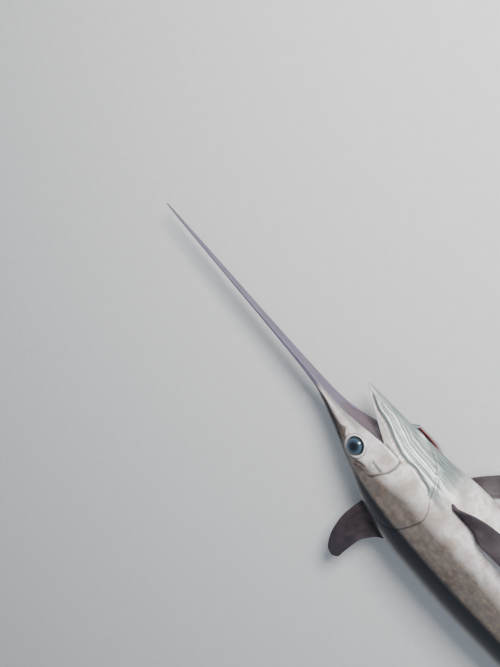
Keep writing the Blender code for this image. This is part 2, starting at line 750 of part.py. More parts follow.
def make_median_fins(material):
    """The rounded first dorsal fin, the anal fins, the small second dorsal fin and the tail's lobes."""
    median_fin(
        "dorsal_fin_first",
        [
            (0, 0.268, 0.123),
            (0.3, 0.270, 0.198),
            (0.6, 0.284, 0.264),
            (0.85, 0.308, 0.311),
            (0.95, 0.322, 0.326),
            (1, 0.334, 0.332),
        ],
        [
            (0, 0.402, 0.151),
            (0.2, 0.368, 0.184),
            (0.45, 0.352, 0.238),
            (0.75, 0.354, 0.290),
            (0.92, 0.356, 0.316),
            (1, 0.350, 0.329),
        ],
        13, 12, 0.0105, material, 1,
    )
    median_fin(
        "anal_fin_first",
        [(0, 1.105, -0.098), (0.35, 1.140, -0.165), (0.7, 1.192, -0.216), (1, 1.262, -0.247)],
        [(0, 1.232, -0.078), (0.25, 1.203, -0.112), (0.6, 1.206, -0.175), (1, 1.265, -0.244)],
        8, 8, 0.0080, material, -1,
    )
    median_fin(
        "dorsal_fin_second",
        [(0, 1.372, 0.050), (0.5, 1.396, 0.074), (1, 1.438, 0.093)],
        [(0, 1.424, 0.040), (0.5, 1.420, 0.062), (1, 1.440, 0.091)],
        4, 5, 0.0045, material, 1,
    )
    median_fin(
        "anal_fin_second",
        [(0, 1.352, -0.055), (0.5, 1.376, -0.078), (1, 1.420, -0.094)],
        [(0, 1.404, -0.045), (0.5, 1.402, -0.066), (1, 1.422, -0.092)],
        4, 5, 0.0045, material, -1,
    )
    for side, word in ((1, "upper"), (-1, "lower")):
        root_s = STEM_END_S + CAP_GAP
        leading = [
            (0, root_s, 0.0400),
            (0.2, 1.590, 0.098),
            (0.5, 1.652, 0.186),
            (0.8, 1.738, 0.259),
            (1, 1.808, 0.296),
        ]
        trailing = [
            (0, root_s, GAP),
            (0.12, 1.602, GAP),
            (0.3, 1.632, 0.068),
            (0.6, 1.682, 0.168),
            (1, 1.811, 0.293),
        ]
        leading = [(v, s, side * y) for v, s, y in leading]
        trailing = [(v, s, side * y) for v, s, y in trailing]
        median_fin(f"tail_fin_{word}", leading, trailing, 9, 12, 0.0150, material)


# A pectoral fin in its own plane: along its length, and forward of its middle line.
PECTORAL_LEADING = [(0, 0.0, 0.0290), (0.35, 0.105, 0.0330), (0.7, 0.215, 0.0120), (1, 0.315, -0.0480)]
PECTORAL_TRAILING = [(0, 0.0, -0.0290), (0.3, 0.075, -0.0310), (0.65, 0.180, -0.0400), (1, 0.313, -0.0510)]
PECTORAL_S = 0.418
PECTORAL_Y = -0.092
PECTORAL_THICKNESS = 0.0110
PECTORAL_LENGTH = 0.315
RIGHT_FIN_STANDS_OFF = 0.0045
RIGHT_FIN_DROOP = 0.031
LEFT_FIN_HEIGHT = 0.0060
LEFT_FIN_SETTLES_OVER = 0.090
ROOT_GAP = 0.0004


def belly_y(s, z):
    """The height of the belly side of the trunk where it is this half width."""
    bottom, half, level = (smooth(TRUNK_SIZES, s, i) for i in (2, 3, 4))
    share = min(z / half, 1.0) ** (1 / belly_power(s))
    return level - (level - bottom) * math.sqrt(1 - share * share)


def fan_out(first, last, reach):
    """A direction that turns from first at the root to last, by a distance from the root."""
    return lambda a: (first + (last - first) * ease(a / reach)).normalized()


def make_pectorals(material):
    """The right pectoral fin stands off the flank that faces up. The left one lies on the floor."""
    grid = fin_grid(PECTORAL_LEADING, PECTORAL_TRAILING, 9, 10, PECTORAL_THICKNESS)
    surface = half_width_at(PECTORAL_S, PECTORAL_Y)
    along = Vector((0.86, -0.34, 0.38)).normalized()
    chord = fan_out(Vector((-1.0, 0.0, 0.0)), Vector((-0.37, -0.93, 0.0)), 0.09)

    def right_fin(a, b, n):
        base = Vector((PECTORAL_S, PECTORAL_Y, surface + RIGHT_FIN_STANDS_OFF))
        droop = Vector((0.0, 0.0, -RIGHT_FIN_DROOP * (a / PECTORAL_LENGTH) ** 2))
        normal = chord(a).cross(along).normalized()
        point = base + along * a + chord(a) * b + normal * n + droop
        if a < 1e-6:
            point.z = half_width_at(point.x, point.y) + ROOT_GAP
        return resting(point)

    fin_mesh("pectoral_fin_right", grid, right_fin, material)

    root = Vector(resting((PECTORAL_S, PECTORAL_Y, -surface)))
    along_floor = Vector((-0.62, -0.78, 0.0)).normalized()
    chord_floor = fan_out(Vector((1.0, 0.0, 0.0)), Vector((0.78, -0.62, 0.0)), 0.06)

    def left_fin(a, b, n):
        point = root + along_floor * a + chord_floor(a) * b
        raised = (root.z - LEFT_FIN_HEIGHT) * (1 - ease(a / LEFT_FIN_SETTLES_OVER))
        height = LEFT_FIN_HEIGHT + raised + n
        if a < 1e-6:
            s = REST_S - point.x
            point.y = belly_y(s, FLANK_HEIGHT - height) - ROOT_GAP
        return (point.x, point.y, max(height, 0.0))

    fin_mesh("pectoral_fin_left", grid, left_fin, material)


def clear_scene():
    for obj in list(bpy.data.objects):
        bpy.data.objects.remove(obj)


def main():
    clear_scene()
    rest = bpy.data.objects.new("swordfish_rest", None)
    bpy.context.scene.collection.objects.link(rest)
    skin = paint("skin", (0.42, 0.41, 0.40), 0.35)
    sword = paint("bill", (0.20, 0.16, 0.19), 0.40)
    fin = paint("fin", (0.045, 0.040, 0.042), 0.45)
    eye = paint("eye", (0.05, 0.09, 0.14), 0.08)
    make_bill(sword)
    make_head(skin)
    make_lower_jaw(skin)
    make_eye(1, "right", eye)
    make_eye(-1, "left", eye)
    make_torso(skin)
    make_tail_stem(skin)
    make_median_fins(fin)
    make_pectorals(fin)


main()
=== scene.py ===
"""The looks of the swordfish: one fine skin, rayed fins, eyes, gills, floor, light and camera.

Shapes are worked out on a straight fish, in the same three coordinates as its solids:
  s  distance behind the tip of the closed lower jaw, negative along the bill
  y  height towards the back, from the bill's centre line
  z  distance towards the right flank, from the middle plane
resting() then lays them on the floor, with the bill towards +X and the right flank up.
"""

import math

import bmesh
import bpy
import numpy as np
from mathutils import Matrix, Vector


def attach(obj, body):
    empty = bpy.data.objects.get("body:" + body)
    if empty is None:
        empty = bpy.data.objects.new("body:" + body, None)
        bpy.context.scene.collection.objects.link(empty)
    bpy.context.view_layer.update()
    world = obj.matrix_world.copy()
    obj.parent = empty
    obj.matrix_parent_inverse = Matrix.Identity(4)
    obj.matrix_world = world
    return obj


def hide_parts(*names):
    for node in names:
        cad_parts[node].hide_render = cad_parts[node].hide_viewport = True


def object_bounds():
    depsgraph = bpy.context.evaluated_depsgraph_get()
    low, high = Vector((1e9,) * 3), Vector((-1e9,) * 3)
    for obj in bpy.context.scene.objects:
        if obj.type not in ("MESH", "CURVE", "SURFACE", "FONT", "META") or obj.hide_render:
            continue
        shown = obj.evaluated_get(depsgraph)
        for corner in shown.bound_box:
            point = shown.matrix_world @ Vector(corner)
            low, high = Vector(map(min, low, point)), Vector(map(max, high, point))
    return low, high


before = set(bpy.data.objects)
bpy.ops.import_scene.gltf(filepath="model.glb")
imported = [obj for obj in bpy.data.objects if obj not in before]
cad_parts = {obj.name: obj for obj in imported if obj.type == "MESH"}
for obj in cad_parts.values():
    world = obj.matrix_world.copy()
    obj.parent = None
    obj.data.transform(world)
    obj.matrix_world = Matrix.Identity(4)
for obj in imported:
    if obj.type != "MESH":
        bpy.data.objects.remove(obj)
cad_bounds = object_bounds()

# Sizes of the fish, in metres, as in its solids
BILL_LENGTH = 0.69
MOUTH_CORNER_S = 0.185
STEM_END_S = 1.565
FLANK_HEIGHT = 0.098
REST_S = 0.600
HEAD_BEND_START_S = 0.450
HEAD_BEND_END_S = 0.150
HEAD_SLOPE = 0.035
TAIL_BEND_START_S = 0.800
TAIL_BEND_END_S = 1.470
TAIL_BEND = 0.107
EYE_S = 0.143
EYE_Y = 0.0145
EYE_RADIUS = 0.0245
EYE_DEPTH = 0.0150
EYE_BULGE = 0.0105
EYE_TURN_FORWARD = math.radians(11)
EYE_TURN_DOWN = math.radians(6)
ORBIT_RIM = 0.0036
JAW_TIP_S = 0.046
JAW_TIP_Y = -0.106
JAW_WALL = 0.0070
LIP = 0.0011
GILL_COVER_STEP = 0.0040
LEFT_SLIT_OPENING = 0.0140
LEFT_SLIT_FORWARD = 0.0250
FILAMENTS = 72
FILAMENTS_FROM_STEP = 14.6
FILAMENTS_TO_STEP = 18.3
FILAMENT_ROOT_RADIUS = 0.0006
FILAMENT_TIP_RADIUS = 0.0002
MOUTH_DEPTH = 0.062
HOLLOW_Y = -0.079
HOLLOW_RISE = 0.024
TIP_ROUND = 0.0022
KEEL_START_S = 1.385
KEEL_LENGTH = 0.170
KEEL_REACH = 0.047
KEEL_HALF_HEIGHT = 0.0078
NOSTRIL_RADIUS = 0.0019
NOSTRIL_DEPTH = 0.0032
FIN_TIP = 0.0010
ROOT_SUNK = 0.0030
FLOOR_REACH = 14.0
FLOOR_GAP = 0.0005

# Rows are (s, top, bottom, half width, level of the widest point).
TRUNK_SIZES = [
    (0.185, 0.092, -0.120, 0.0640, 0.013),
    (0.245, 0.118, -0.126, 0.0760, 0.010),
    (0.340, 0.145, -0.133, 0.0905, 0.006),
    (0.430, 0.154, -0.142, 0.0990, 0.003),
    (0.560, 0.154, -0.149, 0.1040, 0.000),
    (0.780, 0.142, -0.143, 0.1000, 0.000),
    (1.000, 0.114, -0.117, 0.0830, 0.000),
    (1.200, 0.082, -0.084, 0.0610, 0.000),
    (1.360, 0.052, -0.054, 0.0390, 0.000),
    (1.460, 0.034, -0.035, 0.0260, 0.000),
    (1.520, 0.027, -0.027, 0.0190, 0.000),
    (1.565, 0.036, -0.036, 0.0090, 0.000),
]
# Rows are (s, top, palate, half width, level, jaw edge, vault of the palate).
UPPER_SIZES = [
    (-0.690, 0.0013, -0.0012, 0.0022, 0.000, 0.0021, 0.0000),
    (-0.640, 0.0024, -0.0018, 0.0050, 0.000, 0.0048, 0.0000),
    (-0.550, 0.0034, -0.0026, 0.0078, 0.000, 0.0074, 0.0000),
    (-0.345, 0.0052, -0.0042, 0.0128, 0.000, 0.0122, 0.0000),
    (-0.150, 0.0080, -0.0060, 0.0176, 0.000, 0.0168, 0.0000),
    (-0.047, 0.0132, -0.0072, 0.0230, 0.000, 0.0218, 0.0000),
    (0.000, 0.0248, -0.0080, 0.0268, 0.001, 0.0252, 0.0010),
    (0.040, 0.0395, -0.0112, 0.0305, 0.004, 0.0280, 0.0030),
    (0.100, 0.0610, -0.0245, 0.0430, 0.010, 0.0345, 0.0060),
    (0.143, 0.0785, -0.0375, 0.0550, 0.012, 0.0400, 0.0075),
    (0.185, 0.0920, -0.0510, 0.0640, 0.013, 0.0475, 0.0080),
]
# The rear edge of the gill covers, from the throat (-1) over the cheek to the nape (1).
GILL_EDGE = [
    (-1.00, 0.200), (-0.985, 0.240), (-0.94, 0.276), (-0.85, 0.308), (-0.60, 0.345),
    (-0.10, 0.378), (0.35, 0.366), (0.60, 0.338), (0.85, 0.288), (1.00, 0.262),
]

# Steps down each side of a ring, and the fine columns that stand for them, closer towards the throat
STEPS_BACK, STEPS_CHEEK, STEPS_UNDER = 9, 4, 6
JAW_STEP = STEPS_BACK + STEPS_CHEEK
HALF_RING = JAW_STEP + STEPS_UNDER
ABOVE_JAW = np.concatenate([np.arange(0, 7, 1 / 3), np.arange(7, JAW_STEP, 1 / 5)])
BELOW_JAW = JAW_STEP + np.arange(0, STEPS_UNDER * 8 + 1) / 8
COLUMNS = np.concatenate([ABOVE_JAW, BELOW_JAW])
# Rows of the fine skin along the fish
ROWS_BILL, ROWS_SNOUT, ROWS_JAW, ROWS_HOLLOW, ROWS_GILL_COVER, ROWS_TRUNK = 64, 106, 64, 21, 88, 112
SNOUT_START_S = -0.060
# By steps past the flank: how far down the cheek a point lies, how far its lip stands out, and by steps
# past the jaw's edge, how far across the palate
CHEEK_SHARES = [(0, 0.0), (1, 0.40), (2, 0.72), (3, 0.88), (4, 1.0)]
LIP_RELIEF = [(0, 0.0), (1, 0.0), (2, 0.0), (3, -0.4), (4, 1.0)]
PALATE_SHARES = [(0, 0.0), (1, 0.09), (2, 0.26), (3, 0.46), (4, 0.66), (5, 0.84), (6, 1.0)]


def curve(rows, at, column=1):
    """Values of a column at one place or many: a cubic through the rows that never overshoots."""
    x = np.array([row[0] for row in rows], float)
    v = np.array([row[column] for row in rows], float)
    h = np.diff(x)
    slope = np.diff(v) / h
    tangent = np.zeros(len(x))
    tangent[0], tangent[-1] = slope[0], slope[-1]
    for i in range(1, len(x) - 1):
        if slope[i - 1] * slope[i] > 0:
            w1, w2 = 2 * h[i] + h[i - 1], h[i] + 2 * h[i - 1]
            tangent[i] = (w1 + w2) / (w1 / slope[i - 1] + w2 / slope[i])
    at = np.clip(np.asarray(at, float), x[0], x[-1])
    i = np.clip(np.searchsorted(x, at, side="right") - 1, 0, len(x) - 2)
    t = (at - x[i]) / h[i]
    return (
        (2 * t**3 - 3 * t**2 + 1) * v[i]
        + (t**3 - 2 * t**2 + t) * h[i] * tangent[i]
        + (-2 * t**3 + 3 * t**2) * v[i + 1]
        + (t**3 - t**2) * h[i] * tangent[i + 1]
    )


def ease(t):
    t = np.clip(t, 0.0, 1.0)
    return t * t * (3 - 2 * t)


def resting(points):
    """Where points (s, y, z) of the straight fish lie in the world."""
    s, y, z = np.asarray(points, float).reshape(-1, 3).T
    bend = HEAD_BEND_START_S - HEAD_BEND_END_S
    ahead = np.clip(HEAD_BEND_START_S - s, 0.0, bend)
    straight = np.maximum(HEAD_BEND_END_S - s, 0.0)
    front = HEAD_SLOPE * (ahead**2 / (2 * bend) + straight)
    behind = np.clip(s - TAIL_BEND_START_S, 0.0, TAIL_BEND_END_S - TAIL_BEND_START_S)
    rear_slope = 2 * TAIL_BEND * behind
    rear = TAIL_BEND * behind**2 + rear_slope * np.maximum(s - TAIL_BEND_END_S, 0.0)
    height = FLANK_HEIGHT - front - rear
    slope = rear_slope - HEAD_SLOPE * ahead / bend
    length = np.hypot(1.0, slope)
    return np.stack([REST_S - s - z * slope / length, y, np.maximum(height + z / length, 0.0)], -1)


def belly_power(s):
    return 1.0 + 0.75 * ease((0.42 - s) / 0.20)


CORNER_Y = curve(UPPER_SIZES, MOUTH_CORNER_S, 2)
CORNER_LEVEL = curve(TRUNK_SIZES, MOUTH_CORNER_S, 4)
CORNER_BOTTOM = curve(TRUNK_SIZES, MOUTH_CORNER_S, 2)
CORNER_ANGLE = math.asin((CORNER_LEVEL - CORNER_Y) / (CORNER_LEVEL - CORNER_BOTTOM))


def under_angle(step):
    """The angle below the widest point at a step. The line of the mouth corner runs on as one step."""
    down = CORNER_ANGLE * (step - STEPS_BACK) / STEPS_CHEEK
    under = CORNER_ANGLE + (math.pi / 2 - CORNER_ANGLE) * (step - JAW_STEP) / STEPS_UNDER
    return np.where(step <= JAW_STEP, down, under)


def trunk_point(s, step):
    """The skin of the right side behind the mouth corner. Step 0 is the back, HALF_RING the belly."""
    s, step = np.broadcast_arrays(np.asarray(s, float), np.asarray(step, float))
    top, bottom, half, level = (curve(TRUNK_SIZES, s, i) for i in (1, 2, 3, 4))
    back = math.pi / 2 * np.minimum(step / STEPS_BACK, 1.0)
    angle = under_angle(step)
    y_back = level + (top - level) * np.cos(back)
    z_back = half * np.sin(back) ** 0.92
    y_under = level - (level - bottom) * np.sin(angle)
    z_under = half * np.maximum(np.cos(angle), 0.0) ** belly_power(s)
    on_back = step <= STEPS_BACK
    return np.stack([s, np.where(on_back, y_back, y_under), np.where(on_back, z_back, z_under)], -1)


def upper_point(s, step):
    """The skin of the right side of the bill and upper jaw. The last steps cross the palate."""
    s, step = np.broadcast_arrays(np.asarray(s, float), np.asarray(step, float))
    top, palate, half, level, edge, vault = (curve(UPPER_SIZES, s, i) for i in range(1, 7))
    blade = ease((0.06 - s) / 0.12)
    lip = LIP * ease((s - 0.01) / 0.06)
    joining = ease((s - MOUTH_CORNER_S + 0.06) / 0.06)

    back = math.pi / 2 * np.minimum(step / STEPS_BACK, 1.0)
    y_back = level + (top - level) * np.cos(back) ** (1.0 + 0.45 * blade)
    z_back = half * np.sin(back) ** 0.92

    down = np.clip(step - STEPS_BACK, 0, STEPS_CHEEK)
    t = curve(CHEEK_SHARES, down)
    y_cheek = level - (level - palate) * t ** (1.0 + 0.3 * blade)
    z_cheek = half - (half - edge) * t**1.4 + lip * curve(LIP_RELIEF, down)
    angle = CORNER_ANGLE * down / STEPS_CHEEK
    y_round = level - (level - palate) * np.sin(angle) / math.sin(CORNER_ANGLE)
    z_round = half * np.cos(angle) ** belly_power(s)
    y_cheek = y_cheek + (y_round - y_cheek) * joining
    z_cheek = z_cheek + (z_round - z_cheek) * joining

    across = curve(PALATE_SHARES, np.clip(step - JAW_STEP, 0, STEPS_UNDER))
    z_edge = edge + lip + (half * math.cos(CORNER_ANGLE) ** belly_power(s) - edge - lip) * joining
    y_palate = palate + vault * ease((across - 0.05) / 0.55)
    z_palate = z_edge * (1.0 - across)

    on_back, on_cheek = step <= STEPS_BACK, step <= JAW_STEP
    y = np.where(on_back, y_back, np.where(on_cheek, y_cheek, y_palate))
    z = np.where(on_back, z_back, np.where(on_cheek, z_cheek, z_palate))
    return np.stack([s, y, z], -1)


def half_width_at(s, y):
    """Half the width of the trunk or upper jaw at a height."""
    steps = np.linspace(0, HALF_RING if s >= MOUTH_CORNER_S else JAW_STEP, 80)
    side = (trunk_point if s >= MOUTH_CORNER_S else upper_point)(s, steps)
    return float(np.interp(-y, -side[:, 1], side[:, 2]))


def jaw_section(part, steps):
    """Outer and inner halves of the lower jaw's trough, part 0 at its tip and 1 at the mouth corner."""
    root = trunk_point(MOUTH_CORNER_S, steps)
    rim_root, keel_root, wide_root = root[0, 1], root[-1, 1], root[0, 2]
    s = JAW_TIP_S + (MOUTH_CORNER_S - JAW_TIP_S) * part
    rim = JAW_TIP_Y + (rim_root - JAW_TIP_Y) * part**0.92
    keel = JAW_TIP_Y - 0.003 + (keel_root - JAW_TIP_Y + 0.003) * part**0.7
    wide = 0.0022 + (wide_root - 0.0022) * part**0.88
    wall = min(JAW_WALL, 0.45 * wide)
    floor = keel + min(0.009, 0.55 * (rim - keel))
    share = (rim_root - root[:, 1]) / (rim_root - keel_root)
    flat = np.full(len(steps), s)
    outer = np.stack([flat, rim - (rim - keel) * share, wide * root[:, 2] / wide_root], -1)
    inner = np.stack([flat, rim - (rim - floor) * share, outer[:, 2] * (wide - wall) / wide], -1)
    return outer, inner


def gill_edge_s(step):
    return curve(GILL_EDGE, np.cos(math.pi * np.asarray(step) / HALF_RING))


def lifted(points, lift):
    """Points of the skin moved away from the middle line of the fish."""
    reach = np.hypot(points[..., 1], points[..., 2])
    scale = 1 + lift / reach
    return np.stack([points[..., 0], points[..., 1] * scale, points[..., 2] * scale], -1)


def mirrored(points):
    return points * np.array([1.0, 1.0, -1.0])


def unit(vectors):
    return vectors / np.linalg.norm(vectors, axis=-1, keepdims=True)


def read(items, word, width):
    """One property of all points, or of all values of an attribute, as rows of numbers."""
    flat = np.zeros(len(items) * width)
    items.foreach_get(word, flat)
    return flat.reshape(-1, width)


def set_mark(mesh, name, values):
    """Gives the points of a mesh an attribute: a number each, or a vector each."""
    values = np.asarray(values, np.float32)
    kind, word = ("FLOAT", "value") if values.ndim == 1 else ("FLOAT_VECTOR", "vector")
    layer = mesh.attributes.get(name) or mesh.attributes.new(name, kind, "POINT")
    layer.data.foreach_set(word, values.ravel())


def close_shell(mesh, merge=1e-8):
    """Makes one of points that lie closer than merge, and turns the faces outwards."""
    work = bmesh.new()
    work.from_mesh(mesh)
    bmesh.ops.remove_doubles(work, verts=work.verts, dist=merge)
    bmesh.ops.dissolve_degenerate(work, edges=work.edges, dist=1e-7)
    bmesh.ops.recalc_face_normals(work, faces=work.faces)
    if work.calc_volume(signed=True) < 0:
        bmesh.ops.reverse_faces(work, faces=work.faces)
    work.to_mesh(mesh)
    work.free()


class Patches:
    """Collects grids of points into one mesh. Points at one place become one."""

    def __init__(self):
        self.points, self.faces, self.lining, self.girth = [], [], [], []

    def grid(self, rows, girth, lining=0.0, flip=False, close=False):
        """Adds a grid given as rows of points, with the ring step of each column and how far it is lining."""
        rows = np.asarray(rows)
        high, wide = rows.shape[:2]
        first = len(self.points)
        self.points += [tuple(p) for p in rows.reshape(-1, 3)]
        self.lining += list(np.broadcast_to(lining, (high, wide)).ravel())
        self.girth += list(np.broadcast_to(girth, (high, wide)).ravel())
        for r in range(high - 1):
            for c in range(wide if close else wide - 1):
                a, b = first + r * wide + c, first + r * wide + (c + 1) % wide
                quad = (a, b, b + wide, a + wide)
                self.faces.append(quad[::-1] if flip else quad)

    def mesh(self, name):
        mesh = bpy.data.meshes.new(name)
        mesh.from_pydata(self.points, [], self.faces)
        set_mark(mesh, "lining", self.lining)
        set_mark(mesh, "girth", self.girth)
        close_shell(mesh, 2e-6)
        return mesh


def both_sides(row):
    """A closed ring from its right side, given from the back to the belly."""
    return np.concatenate([row, mirrored(row)[-2:0:-1]])


def gape(steps, side):
    """How far the gill cover gapes under the throat: only the left one does."""
    return ease((steps - 13.5) / 2.5) * ease((HALF_RING - steps) / 0.9) * (side < 0)


def gill_lift(steps, side):
    """How far a gill cover's edge stands off the skin."""
    spread = gape(steps, side) * ease((HALF_RING - steps) / 1.1)
    return GILL_COVER_STEP * ease((steps - 4) / 3) + LEFT_SLIT_OPENING * spread


def cover_edge_s(steps, side):
    """Where the edge of a gill cover lies. The open left one is drawn forward under the throat."""
    edge = gill_edge_s(steps)
    return edge - LEFT_SLIT_FORWARD * gape(steps, side) * ease((edge - 0.198) / 0.045)


# The fold under a free gill cover: the distance behind the cover's edge, the share of the cover's
# lift, the depth under the skin, and how far it is flesh: 0.5 is the pink edge of a gill arch, 1 is
# flesh darkened by painted shade, deep under the cover
FOLD = [
    (0.0000, 1.00, 0.0000, 0.0),
    (0.0007, 0.90, 0.0002, 0.0),
    (0.0006, 0.80, 0.0006, 0.0),
    (-0.0010, 0.72, 0.0010, 0.5),
    (-0.0050, 0.55, 0.0016, 1.0),
    (-0.0120, 0.00, 0.0036, 1.0),
    (-0.0125, 0.00, 0.0050, 1.0),
    (-0.0070, 0.00, 0.0046, 1.0),
    (-0.0010, 0.10, 0.0020, 0.5),
    (0.0040, 0.10, 0.0014, 0.5),
    (0.0080, 0.00, 0.0016, 0.8),
    (0.0120, 0.00, 0.0006, 0.2),
    (0.0180, 0.00, 0.0000, 0.0),
]
# Added to the fold's flesh, which shares an attribute with the mouth's lining
FOLD_MARK = 2.0


def behind_mouth(side):
    """Rows of one side from the mouth corner over the gill cover, under it and back to the tail."""
    steps = COLUMNS
    lift = gill_lift(steps, side)
    open_share = gape(steps, side)
    edge = cover_edge_s(steps, side)
    free = np.maximum(ease((steps - 4) / 3) * ease((HALF_RING + 0.4 - steps) / 2.6), open_share)
    rows, red = [], []
    shut = np.zeros(len(steps))
    for i in range(ROWS_GILL_COVER):
        part = i / ROWS_GILL_COVER
        s = MOUTH_CORNER_S + (edge - MOUTH_CORNER_S) * part
        rise = 0.4 * (1 - open_share)
        rows.append(lifted(trunk_point(s, steps), lift * ease((part - rise) / (1 - rise))))
        red.append(shut)
    for i, (behind, share, depth, flesh_and_shade) in enumerate(FOLD):
        wider = 1.0 + 0.4 * open_share * (behind > 0.002)
        s = edge + behind * free * wider + 0.0012 * i * (1 - free)
        skin = trunk_point(np.maximum(s, MOUTH_CORNER_S), steps)
        skin[:, 0] = s
        rows.append(lifted(skin, lift * share - depth * free * (1.0 + 2.0 * open_share)))
        red.append(FOLD_MARK + flesh_and_shade * ease(open_share * 3))
    last = rows[-1][:, 0]
    for i in range(1, ROWS_TRUNK + 1):
        s = last + (STEM_END_S - last) * (i / ROWS_TRUNK)
        rows.append(trunk_point(s, steps))
        red.append(shut)
    return np.array(rows), np.array(red)


def with_keel(points):
    """Draws the sides of the tail stem out into its keels."""
    s, y, z = points.T
    part = np.clip((s - KEEL_START_S) / KEEL_LENGTH, 0.0, 1.0)
    wide = (0.004 + KEEL_REACH * np.sin(math.pi * part**0.85) ** 0.8) * ((part > 0) & (part < 1))
    blade = wide * np.sqrt(np.clip(1 - np.abs(y) / KEEL_HALF_HEIGHT, 0.0, 1.0))
    return np.stack([s, y, np.sign(z) * np.maximum(np.abs(z), blade)], -1)


def make_skin_mesh():
    patches = Patches()
    over = len(ABOVE_JAW)
    under_steps = COLUMNS[over:]

    # The bill and upper jaw, closed by a round tip
    turns = np.linspace(0, math.pi / 2, 5)
    rows = [upper_point(-BILL_LENGTH + TIP_ROUND * (1 - math.cos(a)), COLUMNS) for a in turns]
    for row, a in zip(rows, turns):
        row[:, 1:] *= math.sin(a)
    shares = (np.arange(1, ROWS_BILL + 1) / ROWS_BILL) ** 1.1
    bill = -BILL_LENGTH + TIP_ROUND + (BILL_LENGTH + SNOUT_START_S) * shares
    snout = np.linspace(bill[-1], MOUTH_CORNER_S, ROWS_SNOUT)[1:]
    rows = np.array(rows + [upper_point(s, COLUMNS) for s in (*bill, *snout)])
    for side in (1, -1):
        turned = rows if side > 0 else mirrored(rows)
        patches.grid(turned[:, :over + 1], COLUMNS[:over + 1], 0.0, side < 0)
        patches.grid(turned[:, over:], under_steps, 1.0, side < 0)

    # The trunk and gill covers
    for side in (1, -1):
        behind, red = behind_mouth(side)
        patches.grid(behind if side > 0 else mirrored(behind), COLUMNS, red, side < 0)
    end = both_sides(trunk_point(STEM_END_S, COLUMNS))
    patches.grid([end, np.tile(end.mean(0) * [1, 1, 0], (len(end), 1))], 0.0, 0.0, False, True)

    # The lower jaw: outer skin, rim and lining
    outer, inner, rim = [], [], []
    lip_shares = np.linspace(0, 1, 5)
    for part in np.linspace(0, 1, ROWS_JAW + 1) ** 1.15:
        out_row, in_row = jaw_section(part, under_steps)
        outer.append(out_row)
        inner.append(in_row)
        strip = out_row[0] + (in_row[0] - out_row[0]) * lip_shares[:, None]
        strip[:, 1] += 0.0016 * np.sin(math.pi * lip_shares) * ease((1 - part) / 0.1)
        rim.append(strip)
    outer, inner, rim = np.array(outer), np.array(inner), np.array(rim)
    end = outer[0] + (inner[0] - outer[0]) * lip_shares[:, None, None]
    end[:, 0] = rim[0]
    for side in (1, -1):
        turn = (lambda p: p) if side > 0 else mirrored
        patches.grid(turn(outer), under_steps, 0.0, side < 0)
        patches.grid(turn(inner), under_steps, 1.0, side > 0)
        patches.grid(turn(rim), JAW_STEP, 0.45, side > 0)
        patches.grid(turn(end), under_steps, 0.2, side > 0)

    # The hollow of the mouth: one ring from the palate round to the jaw's lining, closing at the back
    palate = rows[-1, over:]
    right = np.concatenate([inner[-1][::-1], rim[-1][::-1][1:], palate[1:]])
    ring = np.concatenate([right, mirrored(right)[-2:0:-1]])
    hollow = []
    for part in np.linspace(0, 1, ROWS_HOLLOW):
        size = math.sqrt(1 - part**2.2)
        centre = np.array([MOUTH_CORNER_S + MOUTH_DEPTH * part, HOLLOW_Y + HOLLOW_RISE * part, 0.0])
        hollow.append(centre + (ring - [MOUTH_CORNER_S, HOLLOW_Y, 0.0]) * size)
    patches.grid(hollow, HALF_RING, 1.0, False, True)
    return patches.mesh("swordfish_skin")


def eye_frame(side):
    """The middle of an eye on the skin, and three directions: along, across, and the way it looks."""
    turn = (-math.sin(EYE_TURN_FORWARD), -math.sin(EYE_TURN_DOWN), side * math.cos(EYE_TURN_FORWARD))
    out = unit(np.array(turn))
    along = unit(np.array([1.0, 0.0, 0.0]) - out * out[0])
    surface = np.array([EYE_S, EYE_Y, side * half_width_at(EYE_S, EYE_Y)])
    return surface, along, np.cross(out, along), out


def distance_to_line(s, y, line):
    """Distance in the side view from points to a line drawn through places (s, y), and the share along it."""
    best = np.full(s.shape, 9.0)
    share = np.zeros(s.shape)
    line = np.asarray(line, float)
    for i in range(len(line) - 1):
        step = line[i + 1] - line[i]
        t = ((s - line[i, 0]) * step[0] + (y - line[i, 1]) * step[1]) / (step @ step)
        t = np.clip(t, 0.0, 1.0)
        far = np.hypot(s - line[i, 0] - t * step[0], y - line[i, 1] - t * step[1])
        nearer = far < best
        best = np.where(nearer, far, best)
        share = np.where(nearer, (i + t) / (len(line) - 1), share)
    return best, share


def hill(distance, width):
    return np.exp(-((distance / width) ** 2))


# Creases of the head in the side view: depth, width, then places (s, y)
CREASES = {
    "preopercle": (0.0018, 0.0026, [(0.2150, 0.0400), (0.2258, 0.0265), (0.2337, 0.0042), (0.2431, -0.0181),
                                    (0.2453, -0.0388), (0.2423, -0.0545), (0.2303, -0.0560)]),
    "cheek": (0.0010, 0.0030, [(0.1980, 0.0010), (0.2041, -0.0023), (0.2193, -0.0018), (0.2354, -0.0050)]),
    "maxilla": (0.0018, 0.0023, [(0.1860, -0.0515), (0.1913, -0.0530), (0.2093, -0.0555), (0.2346, -0.0580)]),
    "throat": (0.0020, 0.0022, [(0.0460, -0.1085), (0.0800, -0.0965), (0.1100, -0.0875), (0.1515, -0.0841),
                                (0.1909, -0.0734), (0.2277, -0.0675), (0.2545, -0.0686), (0.2747, -0.0745),
                                (0.3069, -0.0730), (0.3269, -0.0726), (0.3391, -0.0636)]),
    "temple": (0.0012, 0.0024, [(0.1700, 0.0420), (0.1840, 0.0310), (0.2000, 0.0250)]),
    "upper temple": (0.0012, 0.0024, [(0.1740, 0.0520), (0.1890, 0.0420), (0.2060, 0.0370)]),
}
